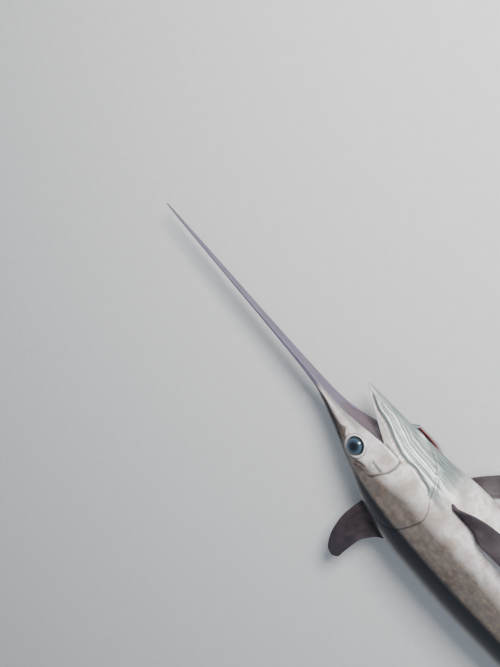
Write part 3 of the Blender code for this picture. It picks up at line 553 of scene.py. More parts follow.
# The middle of the brightest ridge of the throat, as places (s, y), and the width of the folds below it
THROAT_RIDGE = [(0.0500, -0.1100), (0.0800, -0.1020), (0.1177, -0.0935), (0.1425, -0.0935), (0.1835, -0.0840),
                (0.2205, -0.0785), (0.2533, -0.0800), (0.2855, -0.0840), (0.3201, -0.0850), (0.3700, -0.0850)]
THROAT_FOLD = 0.0078
NOSTRILS = [(0.094, 0.0400), (0.104, 0.0415)]
# How far round the eyes and the nostrils the skin is split finer
FINE_ROUND_EYE = 0.011
FINE_ROUND_NOSTRILS = 0.012


def level_of(line, s):
    """The height of a line of places (s, y) at each s."""
    return np.interp(s, [place[0] for place in line], [place[1] for place in line])


def refine_round_eyes(mesh):
    """Splits the faces round the eyes and nostrils, where the small forms are."""
    work = bmesh.new()
    work.from_mesh(mesh)
    near = []
    for side in (1, -1):
        centre, _, _, out = eye_frame(side)
        for edge in work.edges:
            middle = (edge.verts[0].co + edge.verts[1].co) / 2
            if middle.z * side < 0.02 or not 0.08 < middle.x < 0.19:
                continue
            away = np.array(middle) - centre
            from_eye = np.linalg.norm(away - out * (away @ out)) - EYE_RADIUS
            from_nostrils = math.hypot(middle.x - 0.099, middle.y - 0.041)
            if from_eye < FINE_ROUND_EYE or from_nostrils < FINE_ROUND_NOSTRILS:
                near.append(edge)
    bmesh.ops.subdivide_edges(work, edges=list(dict.fromkeys(near)), cuts=1, use_grid_fill=True)
    bmesh.ops.triangulate(work, faces=[f for f in work.faces if len(f.verts) > 4])
    work.to_mesh(mesh)
    work.free()


def eye_relief(points, side):
    """How far the skin moves out round one eye: the orbit's rim, then the socket under the ball."""
    centre, along, across, out = eye_frame(side)
    away = points - centre
    depth = away @ out
    x, y = away @ along, away @ across
    r = np.hypot(x, y)
    near = (r < 0.05) & (points[:, 2] * side > 0.015) & (np.abs(depth) < 0.03)
    rim = ORBIT_RIM * hill(r - EYE_RADIUS - 0.0034, 0.0042) * (r > EYE_RADIUS)
    inner = np.sqrt(np.clip(1 - (r / (EYE_RADIUS + 0.0004)) ** 2, 0, 1))
    floor = EYE_BULGE - EYE_DEPTH - (EYE_DEPTH + 0.001) * inner ** 0.8
    fall = ease((EYE_RADIUS + 0.0014 - r) / 0.0016)
    level = depth + rim
    return np.where(near, level + (floor - level) * fall - depth, 0.0), out


def shape_skin(mesh):
    """Moves the skin's points by its small forms, and gives it its marks. Still on the straight fish."""
    points = with_keel(read(mesh.vertices, "co", 3))
    normals = read(mesh.vertices, "normal", 3)
    lining, girth = (read(mesh.attributes[word].data, "value", 1)[:, 0] for word in ("lining", "girth"))
    s, y, z = points.T
    in_fold = lining >= FOLD_MARK
    red = np.where(in_fold, lining - FOLD_MARK, 0.0)
    lining = np.where(in_fold, 0.0, lining)
    outside = 1 - ease(lining * 2)
    side_on = ease((np.abs(z) - 0.006) / 0.010) * outside * (1 - red)

    move = np.zeros(len(s))
    # Painted shade that darkens the grooves of the creases, and a line under the right gill cover's edge
    crease_shade = np.zeros(len(s))
    # Each crease is a groove with a low swelling along both sides, and fades at its ends
    for depth, width, line in CREASES.values():
        away, share = distance_to_line(s, y, line)
        shown = ease(share / 0.10) * ease((1 - share) / 0.12) * side_on
        move += depth * (0.45 * hill(away - 2.6 * width, 1.6 * width) - hill(away, width)) * shown
        crease_shade = np.maximum(crease_shade, hill(away, 1.25 * width) * shown)
    # A painted shadow line along the free edge of the shut right gill cover
    free_edge = ease((girth - 5) / 3) * (girth < 17.5)
    crease_shade = np.maximum(crease_shade, 0.85 * hill(s - gill_edge_s(girth), 0.0020) * free_edge * (z > 0))

    # Folds of the throat run from the lower jaw to the edge of the gill cover, below its bright ridge
    below = level_of(THROAT_RIDGE, s) - y
    fold_width = THROAT_FOLD * (0.35 + 0.65 * ease((s - 0.05) / 0.14))
    reach = np.where(below > 0, hill(below, 3.4 * fold_width), hill(below, 0.6 * fold_width))
    reach = reach * ease((s - 0.06) / 0.05) * ease((0.375 - s) / 0.06) * side_on * (girth > 11)
    turn = 2 * math.pi * below / fold_width + 0.8 * np.sin(29.0 * s)
    fold = (0.66 * np.cos(turn) + 0.34 * np.cos(0.45 * turn + 6.0 * s - 0.6)) * reach
    move += 0.0007 * fold

    # The palate is browner and stands a little proud between two dark lines, which share the mark of the
    # painted crease shade
    palate_edge = np.interp(s, [0.02, 0.068, 0.110, 0.132, 0.160], [0.016, 0.020, 0.0335, 0.0385, 0.042])
    on_palate = (lining > 0.9) * (y > -0.055) * ease((s - 0.02) / 0.04)
    palate_line = hill(np.abs(z) - palate_edge, 0.0014) * on_palate
    palate = ease((palate_edge - np.abs(z)) / 0.004 + 0.5) * on_palate
    move += 0.0006 * palate

    # The skin rises a little to the roots of the fins
    for first, last, top_side, high in FIN_ROOTS:
        along = ease((s - first) / 0.02) * ease((last - s) / 0.02)
        surface = curve(TRUNK_SIZES, s, 1 if top_side > 0 else 2)
        near = hill(z, 0.010) * (y * top_side > 0.8 * surface * top_side)
        move += high * along * near

    for place in NOSTRILS:
        r = np.hypot((s - place[0]) / 1.35, y - place[1])
        pit = -NOSTRIL_DEPTH * hill(r, NOSTRIL_RADIUS) + 0.0007 * hill(r - 0.0034, 0.0012)
        move += pit * (np.abs(z) > 0.015)
    points = points + normals * move[:, None]
    for side in (1, -1):
        push, out = eye_relief(points, side)
        points = points + out * push[:, None]

    # Marks for the colours, from 0 where a colour does not show to 1 where it covers
    top = np.where(s < MOUTH_CORNER_S, curve(UPPER_SIZES, s, 1), curve(TRUNK_SIZES, s, 1))
    dark, brown = curve(BACK_LINES, s, 1), curve(BACK_LINES, s, 2)
    brown_width = 0.012 + 0.070 * ease((s - 0.15) / 0.10)
    throat_line = level_of(CREASES["throat"][2], s)
    snout = ease((0.140 - s) / 0.03) * ease((s + 0.050) / 0.04) * outside
    jaw = ease((0.23 - s) / 0.06) * (girth >= JAW_STEP - 0.1) * outside
    marks = {
        "back": ease((y - dark) / (0.003 + 0.09 * top) + 0.5),
        "brown": ease((y - brown) / brown_width + 0.5),
        # Brown of the snout, left out along a streak at its widest line, so the paler flank shows there as a
        # painted highlight; weaker below that line
        "snout": snout * ease((np.abs(girth - 9.2) - 0.4) / 1.5) * np.where(girth > 9.2, 0.65, 1.0),
        "pink": 0.8 * jaw * ease((y - throat_line) / 0.004 + 0.5),
        "throat": ease((throat_line - y) / 0.005 + 0.5) * ease((0.43 - s) / 0.10) * (girth > 10) * outside,
        # Where a point lies in a fold's wave: it sets painted shade in the grooves and a painted highlight on
        # the crests
        "fold": 0.5 + 0.5 * fold,
        "sword": ease((-0.012 - s) / 0.035),
        "lining": lining * (1 - red),
        "palate": 0.75 * palate,
        # Pale lines along the jaws' edges and along the open left gill cover's edge: painted highlights where
        # these edges catch the light
        "lip": np.maximum(
            0.6 * hill(girth - JAW_STEP, 0.45) * ease((0.17 - s) / 0.05),
            0.9 * hill(s - cover_edge_s(girth, -1), 0.0018) * gape(girth, -1) * (z < 0.001),
        ),
        "red": red,
        # Painted shade in the creases, joined by the palate's two dark lines
        "crease_shade": 0.8 * np.maximum(crease_shade, palate_line),
        "rim": np.zeros(len(s)),
    }
    for side in (1, -1):
        centre, along_eye, across_eye, _ = eye_frame(side)
        away = points - centre
        r = np.hypot(away @ along_eye, away @ across_eye)
        near = points[:, 2] * side > 0.02
        # Pale ring round each orbit: faint all round, and strongest on its low front side, which faces the
        # light; that stronger side is a painted highlight
        lit_low_front = -(0.45 * away @ along_eye + 0.9 * away[:, 1]) / np.maximum(r, 0.01)
        pale = 0.20 + 0.70 * ease(0.5 + 0.6 * lit_low_front)
        marks["rim"] += pale * hill(r - EYE_RADIUS - 0.0030, 0.0024) * near
        # Painted shade in the groove just outside each orbit's rim
        marks["crease_shade"] += 0.60 * hill(r - EYE_RADIUS - 0.0074, 0.0018) * near
    mesh.vertices.foreach_set("co", resting(points).ravel())
    # Laying the fish down mirrors it, so its faces are turned to point outwards again
    mesh.flip_normals()
    for name, values in marks.items():
        set_mark(mesh, name, values)
    set_mark(mesh, "fish", points)
    mesh.update()


# The lower edges of the dark back and of the brown below it. Rows are (s, dark, brown).
BACK_LINES = [
    (-0.690, 0.0004, -0.0002),
    (-0.345, 0.0036, 0.0030),
    (-0.047, 0.0062, 0.0050),
    (-0.012, 0.0056, 0.0046),
    (0.040, 0.0160, 0.0130),
    (0.073, 0.0240, 0.0150),
    (0.092, 0.0310, 0.0070),
    (0.110, 0.0400, 0.0270),
    (0.143, 0.0530, 0.0390),
    (0.165, 0.0610, 0.0340),
    (0.187, 0.0640, 0.0250),
    (0.218, 0.0640, 0.0140),
    (0.255, 0.0640, 0.0060),
    (0.285, 0.0620, -0.0090),
    (0.320, 0.0600, -0.0210),
    (0.400, 0.0560, -0.0240),
    (0.560, 0.0500, -0.0300),
    (1.000, 0.0320, -0.0260),
    (1.300, 0.0160, -0.0130),
    (1.565, 0.0050, -0.0050),
]
# Where the skin rises to a fin: from s, to s, on the back (1) or belly (-1), and how high
FIN_ROOTS = [
    (0.255, 0.412, 1, 0.0030),
    (1.095, 1.240, -1, 0.0026),
    (1.362, 1.430, 1, 0.0012),
    (1.342, 1.410, -1, 0.0012),
]


def linear(code):
    """A colour of the sRGB hex code, in linear light."""
    parts = [int(code[i:i + 2], 16) / 255 for i in (1, 3, 5)]
    return (*[c / 12.92 if c <= 0.04045 else ((c + 0.055) / 1.055) ** 2.4 for c in parts], 1.0)


def add(tree, kind, inputs=None, stops=None, **settings):
    """Adds a node with its settings, the stops of a colour ramp, and its values or links."""
    node = tree.nodes.new(kind)
    for name, value in settings.items():
        setattr(node, name, value)
    for name, value in (inputs or {}).items():
        if isinstance(value, bpy.types.NodeSocket):
            tree.links.new(value, node.inputs[name])
        else:
            node.inputs[name].default_value = value
    if stops:
        elements = node.color_ramp.elements
        while len(elements) < len(stops):
            elements.new(0.5)
        for element, (place, colour) in zip(elements, stops):
            element.position = place
            element.color = linear(colour) if isinstance(colour, str) else (colour, colour, colour, 1.0)
    return node


def new_material(name, **constants):
    """A material whose shader has these plain values."""
    material = bpy.data.materials.new(name)
    material.use_nodes = True
    shader = material.node_tree.nodes["Principled BSDF"]
    for socket, value in constants.items():
        shader.inputs[socket.replace("_", " ")].default_value = value
    return material


def finish_material(material, **outputs):
    """Links outputs of a material's nodes to its shader."""
    shader = material.node_tree.nodes["Principled BSDF"]
    for socket, output in outputs.items():
        material.node_tree.links.new(output, shader.inputs[socket.replace("_", " ")])
    return material


def fish_skin_material():
    """Wet skin of a swordfish: smooth and without scales, silvery low down, under a thin wet gloss."""
    material = new_material(
        "wet_fish_skin", IOR=1.40, Coat_Weight=0.35, Coat_Roughness=0.14, Coat_IOR=1.33, Metallic=0.05
    )
    tree = material.node_tree
    fish = add(tree, "ShaderNodeAttribute", attribute_name="fish").outputs["Vector"]
    names = ("back", "brown", "snout", "pink", "throat", "fold", "sword", "lining", "palate", "lip", "red",
             "crease_shade", "rim", "girth")
    mark = {n: add(tree, "ShaderNodeAttribute", attribute_name=n).outputs["Fac"] for n in names}

    # Clouds 55 mm wide, mottling 14 mm wide and specks 3 mm wide
    noise = {}
    for word, size, detail in (("clouds", 0.055, 3.0), ("mottle", 0.014, 5.0), ("specks", 0.003, 2.0)):
        inputs = {"Vector": fish, "Scale": 1 / size, "Detail": detail}
        noise[word] = add(tree, "ShaderNodeTexNoise", inputs).outputs["Fac"]
    # Strands 70 mm long, drawn out along the fish: about 5 mm wide on the head and 1 mm on the bill
    along = add(tree, "ShaderNodeSeparateXYZ", {0: fish}).outputs["X"]
    strand = add(tree, "ShaderNodeCombineXYZ", {
        "X": add(tree, "ShaderNodeMath", {0: along, 1: 1 / 0.070}, operation="MULTIPLY").outputs[0],
        "Y": add(tree, "ShaderNodeMath", {0: mark["girth"], 1: 2.8}, operation="MULTIPLY").outputs[0],
    }).outputs[0]
    inputs = {"Vector": strand, "Scale": 1.0, "Detail": 4.0, "Distortion": 0.4}
    strands = add(tree, "ShaderNodeTexNoise", inputs).outputs["Fac"]
    # The folds, with their painted shade and highlight, and the edge of the brown are broken up by the
    # strands and the clouds
    fold_shade_and_highlight, uneven = (
        add(tree, "ShaderNodeMath", {0: by, 1: much, 2: mark[word]}, operation="MULTIPLY_ADD").outputs[0]
        for by, much, word in ((strands, 0.35, "fold"), (noise["clouds"], 0.40, "brown"))
    )

    ramps = {
        "flank": (
            noise["clouds"], [(0.32, "#b3a8a2"), (0.45, "#d2cdcc"), (0.56, "#eae8ea"), (0.68, "#cfc3bc")],
        ),
        "bronze": (noise["mottle"], [(0.34, "#3e3531"), (0.52, "#51473f"), (0.70, "#6c6057")]),
        "snout": (strands, [(0.35, "#4a3f39"), (0.52, "#75685f"), (0.68, "#968b81")]),
        "throat": (strands, [(0.30, "#4f5a59"), (0.46, "#657271"), (0.60, "#7f8c8d"), (0.72, "#9da8ac")]),
        "back": (mark["back"], [(0.15, "#3a3433"), (0.50, "#201f25"), (0.85, "#0d1119")]),
        "bill": (strands, [(0.32, "#444053"), (0.50, "#5b566b"), (0.68, "#716c81")]),
        "lining": (strands, [(0.32, "#4d475a"), (0.50, "#645d70"), (0.70, "#7a7386")]),
        # Gill flesh in the open slit: pink at an arch's edge, going near black deep under the cover as
        # painted shade
        "flesh_and_shade": (mark["red"], [(0.30, "#b08a88"), (0.55, "#9c6263"), (0.85, "#240a0c")]),
        "speckled share": (noise["mottle"], [(0.46, 0.0), (0.66, 0.55)]),
        "brown share": (uneven, [(0.20, 0.0), (0.55, 0.38), (1.00, 0.92)]),
        "specks share": (noise["specks"], [(0.50, 0.0), (0.70, 0.22)]),
        # Shares of painted shade in the throat's fold grooves and of painted highlight on their crests
        "fold shade share": (fold_shade_and_highlight, [(0.20, 0.75), (0.56, 0.0)]),
        "fold highlight share": (fold_shade_and_highlight, [(0.76, 0.0), (0.98, 0.92)]),
        "inside share": (mark["lining"], [(0.50, 0.0), (0.85, 1.0)]),
        "flesh share": (mark["red"], [(0.05, 0.0), (0.25, 1.0)]),
    }
    ramp = {
        word: add(tree, "ShaderNodeValToRGB", {"Fac": by}, stops).outputs["Color"]
        for word, (by, stops) in ramps.items()
    }
    # From the ground colour up: each coat is how far it shows, and its colour
    colour = ramp["flank"]
    for shown, coat in (
        (ramp["speckled share"], linear("#b09f96")),
        (ramp["specks share"], linear("#7f736c")),
        # The snout's own brown, with a pale streak along its widest line left as a painted highlight
        (mark["snout"], ramp["snout"]),
        (ramp["brown share"], ramp["bronze"]),
        (mark["pink"], linear("#a3969a")),
        (mark["throat"], ramp["throat"]),
        # Painted shade in the throat's fold grooves, then a painted highlight on their crests
        (ramp["fold shade share"], linear("#5f6f72")),
        (ramp["fold highlight share"], linear("#e6edf0")),
        (mark["back"], ramp["back"]),
        (mark["sword"], ramp["bill"]),
        (ramp["inside share"], ramp["lining"]),
        (mark["palate"], linear("#5e4d56")),
        # Painted highlights along the jaws' edges and the open left gill cover's edge
        (mark["lip"], linear("#c6c4d0")),
        # The open gill slit's flesh, with painted shade deep under the cover
        (ramp["flesh share"], ramp["flesh_and_shade"]),
        # Painted shade in the creases and grooves, with the palate's dark lines
        (mark["crease_shade"], linear("#2c2625")),
        # Pale ring round each orbit, with a painted highlight on its low front side
        (mark["rim"], linear("#c6ced6")),
    ):
        colour = add(tree, "ShaderNodeMix", {0: shown, 6: colour, 7: coat}, data_type="RGBA").outputs[2]
    rough = add(tree, "ShaderNodeMapRange", {"Value": noise["mottle"], "To Min": 0.26, "To Max": 0.46})
    inputs = {"Height": noise["specks"], "Strength": 0.25, "Distance": 0.0006}
    fine = add(tree, "ShaderNodeBump", inputs).outputs[0]
    inputs = {"Height": strands, "Normal": fine, "Strength": 0.35, "Distance": 0.0016}
    drawn = add(tree, "ShaderNodeBump", inputs).outputs[0]
    return finish_material(material, Base_Color=colour, Roughness=rough.outputs[0], Normal=drawn)


def put(name, data):
    """Puts an object with this mesh, camera or lamp in the scene."""
    obj = bpy.data.objects.new(name, data)
    bpy.context.scene.collection.objects.link(obj)
    return obj


def piece(name, mesh, material, slot, *nodes):
    """Puts a finished mesh in the scene as a piece that stands for some of the solids."""
    obj = put(name, mesh)
    mesh.materials.clear()
    mesh.materials.append(material)
    mesh.shade_smooth()
    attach(obj, "root")
    if nodes:
        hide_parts(*nodes)
    return obj


def make_skin():
    mesh = make_skin_mesh()
    refine_round_eyes(mesh)
    shape_skin(mesh)
    nodes = ("bill", "head", "lower_jaw", "torso_front", "torso_rear", "tail_stem")
    return piece("skin_of_the_fish", mesh, fish_skin_material(), "skin", *nodes)


def filament_material():
    """Wet gill filaments: soft and deep red with blood, unevenly so every 6 mm, and glossy."""
    material = new_material(
        "wet_gill_filament", IOR=1.38, Roughness=0.30, Coat_Weight=0.5, Coat_Roughness=0.10, Coat_IOR=1.33
    )
    tree = material.node_tree
    here = add(tree, "ShaderNodeTexCoord").outputs["Object"]
    blood = add(tree, "ShaderNodeTexNoise", {"Vector": here, "Scale": 1 / 0.006, "Detail": 2.0})
    inputs = {"Fac": blood.outputs["Fac"]}
    tone = add(tree, "ShaderNodeValToRGB", inputs, [(0.35, "#5c1214"), (0.65, "#8e2c2a")])
    return finish_material(material, Base_Color=tone.outputs["Color"])


def comb_of_filaments(material):
    """A tree that stands a small cone on each point, turned along its reach, and its inputs' identifiers."""
    nodes = bpy.data.node_groups.new("comb_of_filaments", "GeometryNodeTree")
    kinds = {"Length": "Float", "Root Radius": "Float", "Tip Radius": "Float"}
    for way in ("INPUT", "OUTPUT"):
        nodes.interface.new_socket("Geometry", in_out=way, socket_type="NodeSocketGeometry")
    keys = {
        word: nodes.interface.new_socket(word, in_out="INPUT", socket_type="NodeSocket" + kind).identifier
        for word, kind in kinds.items()
    }
    given = add(nodes, "NodeGroupInput").outputs
    reach = add(nodes, "GeometryNodeInputNamedAttribute", {"Name": "reach"}, data_type="FLOAT_VECTOR")
    cone = add(nodes, "GeometryNodeMeshCone", {
        "Vertices": 7, "Radius Top": given["Tip Radius"], "Radius Bottom": given["Root Radius"],
        "Depth": given["Length"],
    })
    turned = add(nodes, "FunctionNodeAlignRotationToVector", {"Vector": reach.outputs["Attribute"]}, axis="Z")
    comb = add(nodes, "GeometryNodeInstanceOnPoints", {
        "Points": given["Geometry"], "Instance": cone.outputs["Mesh"], "Rotation": turned.outputs[0],
    })
    solid = add(nodes, "GeometryNodeRealizeInstances", {"Geometry": comb.outputs[0]})
    painted = add(nodes, "GeometryNodeSetMaterial", {"Geometry": solid.outputs[0], "Material": material})
    add(nodes, "NodeGroupOutput", {"Geometry": painted.outputs[0]})
    return nodes, keys


def make_gill_filaments():
    """A comb of red filaments in the open left gill slit, from the gill arch outwards."""
    steps = np.linspace(FILAMENTS_FROM_STEP, FILAMENTS_TO_STEP, FILAMENTS)
    edge = cover_edge_s(steps, -1)
    root = resting(mirrored(lifted(trunk_point(edge - 0.0075, steps), -0.0110)))
    tip = resting(mirrored(lifted(trunk_point(edge - 0.0005, steps), 0.0010)))
    roots = bpy.data.meshes.new("filament_roots")
    roots.from_pydata(root.tolist(), [], [])
    set_mark(roots, "reach", tip - root)
    material = filament_material()
    maker = put("filament_maker", roots)
    modifier = maker.modifiers.new("comb", "NODES")
    modifier.node_group, keys = comb_of_filaments(material)
    modifier[keys["Length"]] = float(np.linalg.norm(tip - root, axis=1).mean())
    modifier[keys["Root Radius"]] = FILAMENT_ROOT_RADIUS
    modifier[keys["Tip Radius"]] = FILAMENT_TIP_RADIUS
    made = maker.evaluated_get(bpy.context.evaluated_depsgraph_get())
    mesh = bpy.data.meshes.new_from_object(made)
    mesh.name = "gill_filaments"
    bpy.data.objects.remove(maker)
    return piece("gill_filaments_left", mesh, material, "skin")


def fish_eye_material():
    """A swordfish's eye: a clear, very smooth cornea over a blue-grey iris and a deep dark pupil."""
    material = new_material(
        "fish_eye_cornea", IOR=1.38, Roughness=0.12, Coat_Weight=1.0, Coat_Roughness=0.02, Coat_IOR=1.38
    )
    tree = material.node_tree
    place = add(tree, "ShaderNodeAttribute", attribute_name="from_pupil").outputs["Fac"]
    turn = add(tree, "ShaderNodeAttribute", attribute_name="round_pupil").outputs["Vector"]
    fibres = add(tree, "ShaderNodeTexNoise", {"Vector": turn, "Scale": 9.0, "Detail": 4.0}).outputs["Fac"]
    shifted = add(tree, "ShaderNodeMath", {0: fibres, 1: 0.10, 2: place}, operation="MULTIPLY_ADD")
    ring = add(
        tree, "ShaderNodeValToRGB", {"Fac": shifted.outputs[0]},
        [(0.20, "#070c12"), (0.43, "#0d151e"), (0.50, "#1d2b37"), (0.62, "#283845"), (0.74, "#384b5b"),
         (0.84, "#3f5160"), (0.90, "#15222c"), (0.99, "#080f16")],
    ).outputs["Color"]
    return finish_material(material, Base_Color=ring)


def make_eye(side, word, material):
    """One eyeball: flattened, with a slight dome of cornea over the pupil."""
    surface, along, across, out = eye_frame(side)
    mesh = bpy.data.meshes.new("eye_" + word)
    work = bmesh.new()
    bmesh.ops.create_uvsphere(work, u_segments=72, v_segments=48, radius=1.0)
    work.to_mesh(mesh)
    work.free()
    ball = read(mesh.vertices, "co", 3)
    axes = np.array([along * EYE_RADIUS, across * EYE_RADIUS, out * EYE_DEPTH])
    points = surface + out * (EYE_BULGE - EYE_DEPTH) + ball @ axes
    mesh.vertices.foreach_set("co", resting(points).ravel())
    r = np.hypot(ball[:, 0], ball[:, 1])
    set_mark(mesh, "from_pupil", np.where(ball[:, 2] > 0, r, 1.0))
    set_mark(mesh, "round_pupil", np.column_stack([ball[:, :2] / np.maximum(r, 0.2)[:, None], r * 0.4]))
    close_shell(mesh)
    return piece("eyeball_" + word, mesh, material, "eye", "eye_" + word)


def fin_grid(leading, trailing, rays, rows, thickness):
    """In-plane places and half thicknesses of a fin, columns from its front edge to its rear edge."""
    columns = 4 * rays + 1
    v = 1 - (1 - np.linspace(0, 1, rows + 1)) ** 1.5
    u = np.linspace(0, 1, columns)
    front = np.stack([curve(leading, v, i) for i in (1, 2)], -1)[:, None]
    rear = np.stack([curve(trailing, v, i) for i in (1, 2)], -1)[:, None]
    near_tip = np.clip((v - 0.93) / 0.07, 0, 1)[:, None, None]
    across = 0.5 + (u[None, :, None] - 0.5) * np.sqrt(1.0001 - near_tip**2)
    place = front + (rear - front) * across
    thick = (FIN_TIP + (thickness - FIN_TIP) * (1 - v) ** 1.3)[:, None]
    body = 0.30 + 0.70 * np.sqrt(np.maximum(1 - ((u - 0.28) / 0.74) ** 2, 0.0))
    ridge = 0.62 + 0.36 * np.cos(u * rays * 2 * math.pi + math.pi) * ease(u / 0.05)
    half = 0.5 * thick * body * ridge
    half[:, 0] = half[:, -1] = 0.00015
    half[-1] = np.minimum(half[-1], 0.00025)
    return place, half, u, v


def fin_mesh(name, place, half, to_world, u, v):
    """A closed fin from its two faces, with its share from front to rear and from root to tip."""
    rows, columns = half.shape
    sheets = [to_world(place[..., 0], place[..., 1], side * half) for side in (1, -1)]
    points = np.concatenate([sheet.reshape(-1, 3) for sheet in sheets])
    other = rows * columns
    faces = []
    for r in range(rows - 1):
        for c in range(columns - 1):
            a, b = r * columns + c, r * columns + c + 1
            faces.append((a, b, b + columns, a + columns))
            faces.append((other + a, other + a + columns, other + b + columns, other + b))
    index = np.arange(other).reshape(rows, columns)
    border = np.concatenate([index[0], index[1:, -1], index[-1, -2::-1], index[-2:0:-1, 0]]).tolist()
    faces += [(a, other + a, other + b, b) for a, b in zip(border, border[1:] + border[:1])]
    mesh = bpy.data.meshes.new(name)
    mesh.from_pydata(points.tolist(), [], faces)
    shares = np.stack([np.tile(u, (rows, 1)), np.tile(v[:, None], (1, columns)), half * 1000], -1)
    set_mark(mesh, "ray", np.concatenate([shares, shares]).reshape(-1, 3))
    close_shell(mesh)
    return mesh


def fin_material():
    """Fin of skin over close rays: dark brown to purplish, thin and a little glossy when wet."""
    material = new_material(
        "wet_fin_membrane", IOR=1.40, Coat_Weight=0.35, Coat_Roughness=0.22, Coat_IOR=1.33
    )
    tree = material.node_tree
    ray = add(tree, "ShaderNodeAttribute", attribute_name="ray").outputs["Vector"]
    here = add(tree, "ShaderNodeTexCoord").outputs["Object"]
    towards_tip = add(tree, "ShaderNodeSeparateXYZ", {0: ray}).outputs["Y"]
    # Clouds 30 mm wide, and streaks along the rays, about 60 across a fin
    inputs = {"Vector": here, "Scale": 1 / 0.030, "Detail": 4.0}
    clouds = add(tree, "ShaderNodeTexNoise", inputs).outputs["Fac"]
    drawn = add(tree, "ShaderNodeMapping", {"Vector": ray, "Scale": (60.0, 1.5, 0.0)}).outputs[0]
    inputs = {"Vector": drawn, "Scale": 1.0, "Detail": 3.0}
    streaks = add(tree, "ShaderNodeTexNoise", inputs).outputs["Fac"]
    both = add(tree, "ShaderNodeMath", {0: clouds, 1: streaks}, operation="ADD").outputs[0]
    tone = add(tree, "ShaderNodeMath", {0: both, 1: 0.5}, operation="MULTIPLY").outputs[0]
    stops = [(0.35, "#2a242b"), (0.50, "#40373e"), (0.65, "#5a4e53")]
    colour = add(tree, "ShaderNodeValToRGB", {"Fac": tone}, stops).outputs["Color"]
    inputs = {0: towards_tip, 6: colour, 7: linear("#312b33")}
    colour = add(tree, "ShaderNodeMix", inputs, data_type="RGBA").outputs[2]
    rough = add(tree, "ShaderNodeMapRange", {"Value": clouds, "To Min": 0.34, "To Max": 0.55}).outputs[0]
    bump = add(tree, "ShaderNodeBump", {"Height": streaks, "Strength": 0.35, "Distance": 0.0008}).outputs[0]
    return finish_material(material, Base_Color=colour, Roughness=rough, Normal=bump)


def in_middle(a, b, n):
    """Where a fin in the middle plane of the fish lies."""
    return resting(np.stack([a, b, n], -1)).reshape(*a.shape, 3)


# Fins of the middle plane: front edge and rear edge, as rows of (share from root to tip, s, y), then
# rays, rows, thickness, and the side of the trunk that they stand on.
MIDDLE_FINS = {
    "dorsal_fin_first": (
        [(0, 0.268, 0.123), (0.3, 0.270, 0.198), (0.6, 0.284, 0.264), (0.85, 0.308, 0.311),
         (0.95, 0.322, 0.326), (1, 0.334, 0.332)],
        [(0, 0.402, 0.151), (0.2, 0.368, 0.184), (0.45, 0.352, 0.238), (0.75, 0.354, 0.290),
         (0.92, 0.356, 0.316), (1, 0.350, 0.329)],
        30, 60, 0.0105, 1,
    ),
    "anal_fin_first": (
        [(0, 1.105, -0.098), (0.35, 1.140, -0.165), (0.7, 1.192, -0.216), (1, 1.262, -0.247)],
        [(0, 1.232, -0.078), (0.25, 1.203, -0.112), (0.6, 1.206, -0.175), (1, 1.265, -0.244)],
        18, 40, 0.0080, -1,
    ),
    "dorsal_fin_second": (
        [(0, 1.372, 0.050), (0.5, 1.396, 0.074), (1, 1.438, 0.093)],
        [(0, 1.424, 0.040), (0.5, 1.420, 0.062), (1, 1.440, 0.091)],
        6, 20, 0.0045, 1,
    ),
    "anal_fin_second": (
        [(0, 1.352, -0.055), (0.5, 1.376, -0.078), (1, 1.420, -0.094)],
        [(0, 1.404, -0.045), (0.5, 1.402, -0.066), (1, 1.422, -0.092)],
        6, 20, 0.0045, -1,
    ),
}
# The same for the upper lobe of the tail, whose root lies 4 mm inside the end of the tail stem
TAIL_LEADING = [
    (0, 1.561, 0.0400), (0.2, 1.590, 0.098), (0.5, 1.652, 0.186), (0.8, 1.738, 0.259), (1, 1.808, 0.296),
]
TAIL_TRAILING = [
    (0, 1.561, 0.0003), (0.12, 1.602, 0.0003), (0.3, 1.632, 0.068), (0.6, 1.682, 0.168), (1, 1.811, 0.293),
]


def make_middle_fins(material):
    for name, (leading, trailing, rays, rows, thickness, root) in MIDDLE_FINS.items():
        place, half, u, v = fin_grid(leading, trailing, rays, rows, thickness)
        surface = curve(TRUNK_SIZES, place[0, :, 0], 1 if root > 0 else 2)
        sink = root * (place[0, :, 1] - surface) + ROOT_SUNK
        fade = ease((0.25 - v) / 0.25)[:, None]
        place[..., 1] -= root * sink * fade
        half[0] = half[1]
        mesh = fin_mesh(name, place, half, in_middle, u, v)
        piece(name + "_rayed", mesh, material, "fin", name)
    for side, word in ((1, "upper"), (-1, "lower")):
        leading = [(v, s, side * y) for v, s, y in TAIL_LEADING]
        trailing = [(v, s, side * y) for v, s, y in TAIL_TRAILING]
        place, half, u, v = fin_grid(leading, trailing, 22, 60, 0.0150)
        half[:, -1] = half[:, -1] + (half[:, -2] - half[:, -1]) * ease((0.16 - v) / 0.06)
        mesh = fin_mesh(f"tail_fin_{word}", place, half, in_middle, u, v)
        piece(f"tail_fin_{word}_rayed", mesh, material, "fin", f"tail_fin_{word}")


# A pectoral fin in its own plane: along its length, and forward of its middle line.
PECTORAL_LEADING = [(0, 0.0, 0.0290), (0.35, 0.105, 0.0330), (0.7, 0.215, 0.0120), (1, 0.315, -0.0480)]
PECTORAL_TRAILING = [(0, 0.0, -0.0290), (0.3, 0.075, -0.0310), (0.65, 0.180, -0.0400), (1, 0.313, -0.0510)]
PECTORAL_S = 0.418
PECTORAL_Y = -0.092


def fan_out(first, last, share):
    """Directions that turn from first to last, by a share at each point."""
    first, last = np.array(first), np.array(last)
    return unit(first + (last - first) * share[..., None])


def belly_y(s, z):
    """The height of the belly side of the trunk where it is this half width."""
    bottom, half, level = (curve(TRUNK_SIZES, s, i) for i in (2, 3, 4))
    share = np.minimum(z / half, 1.0) ** (1 / belly_power(s))
    return level - (level - bottom) * np.sqrt(1 - share * share)


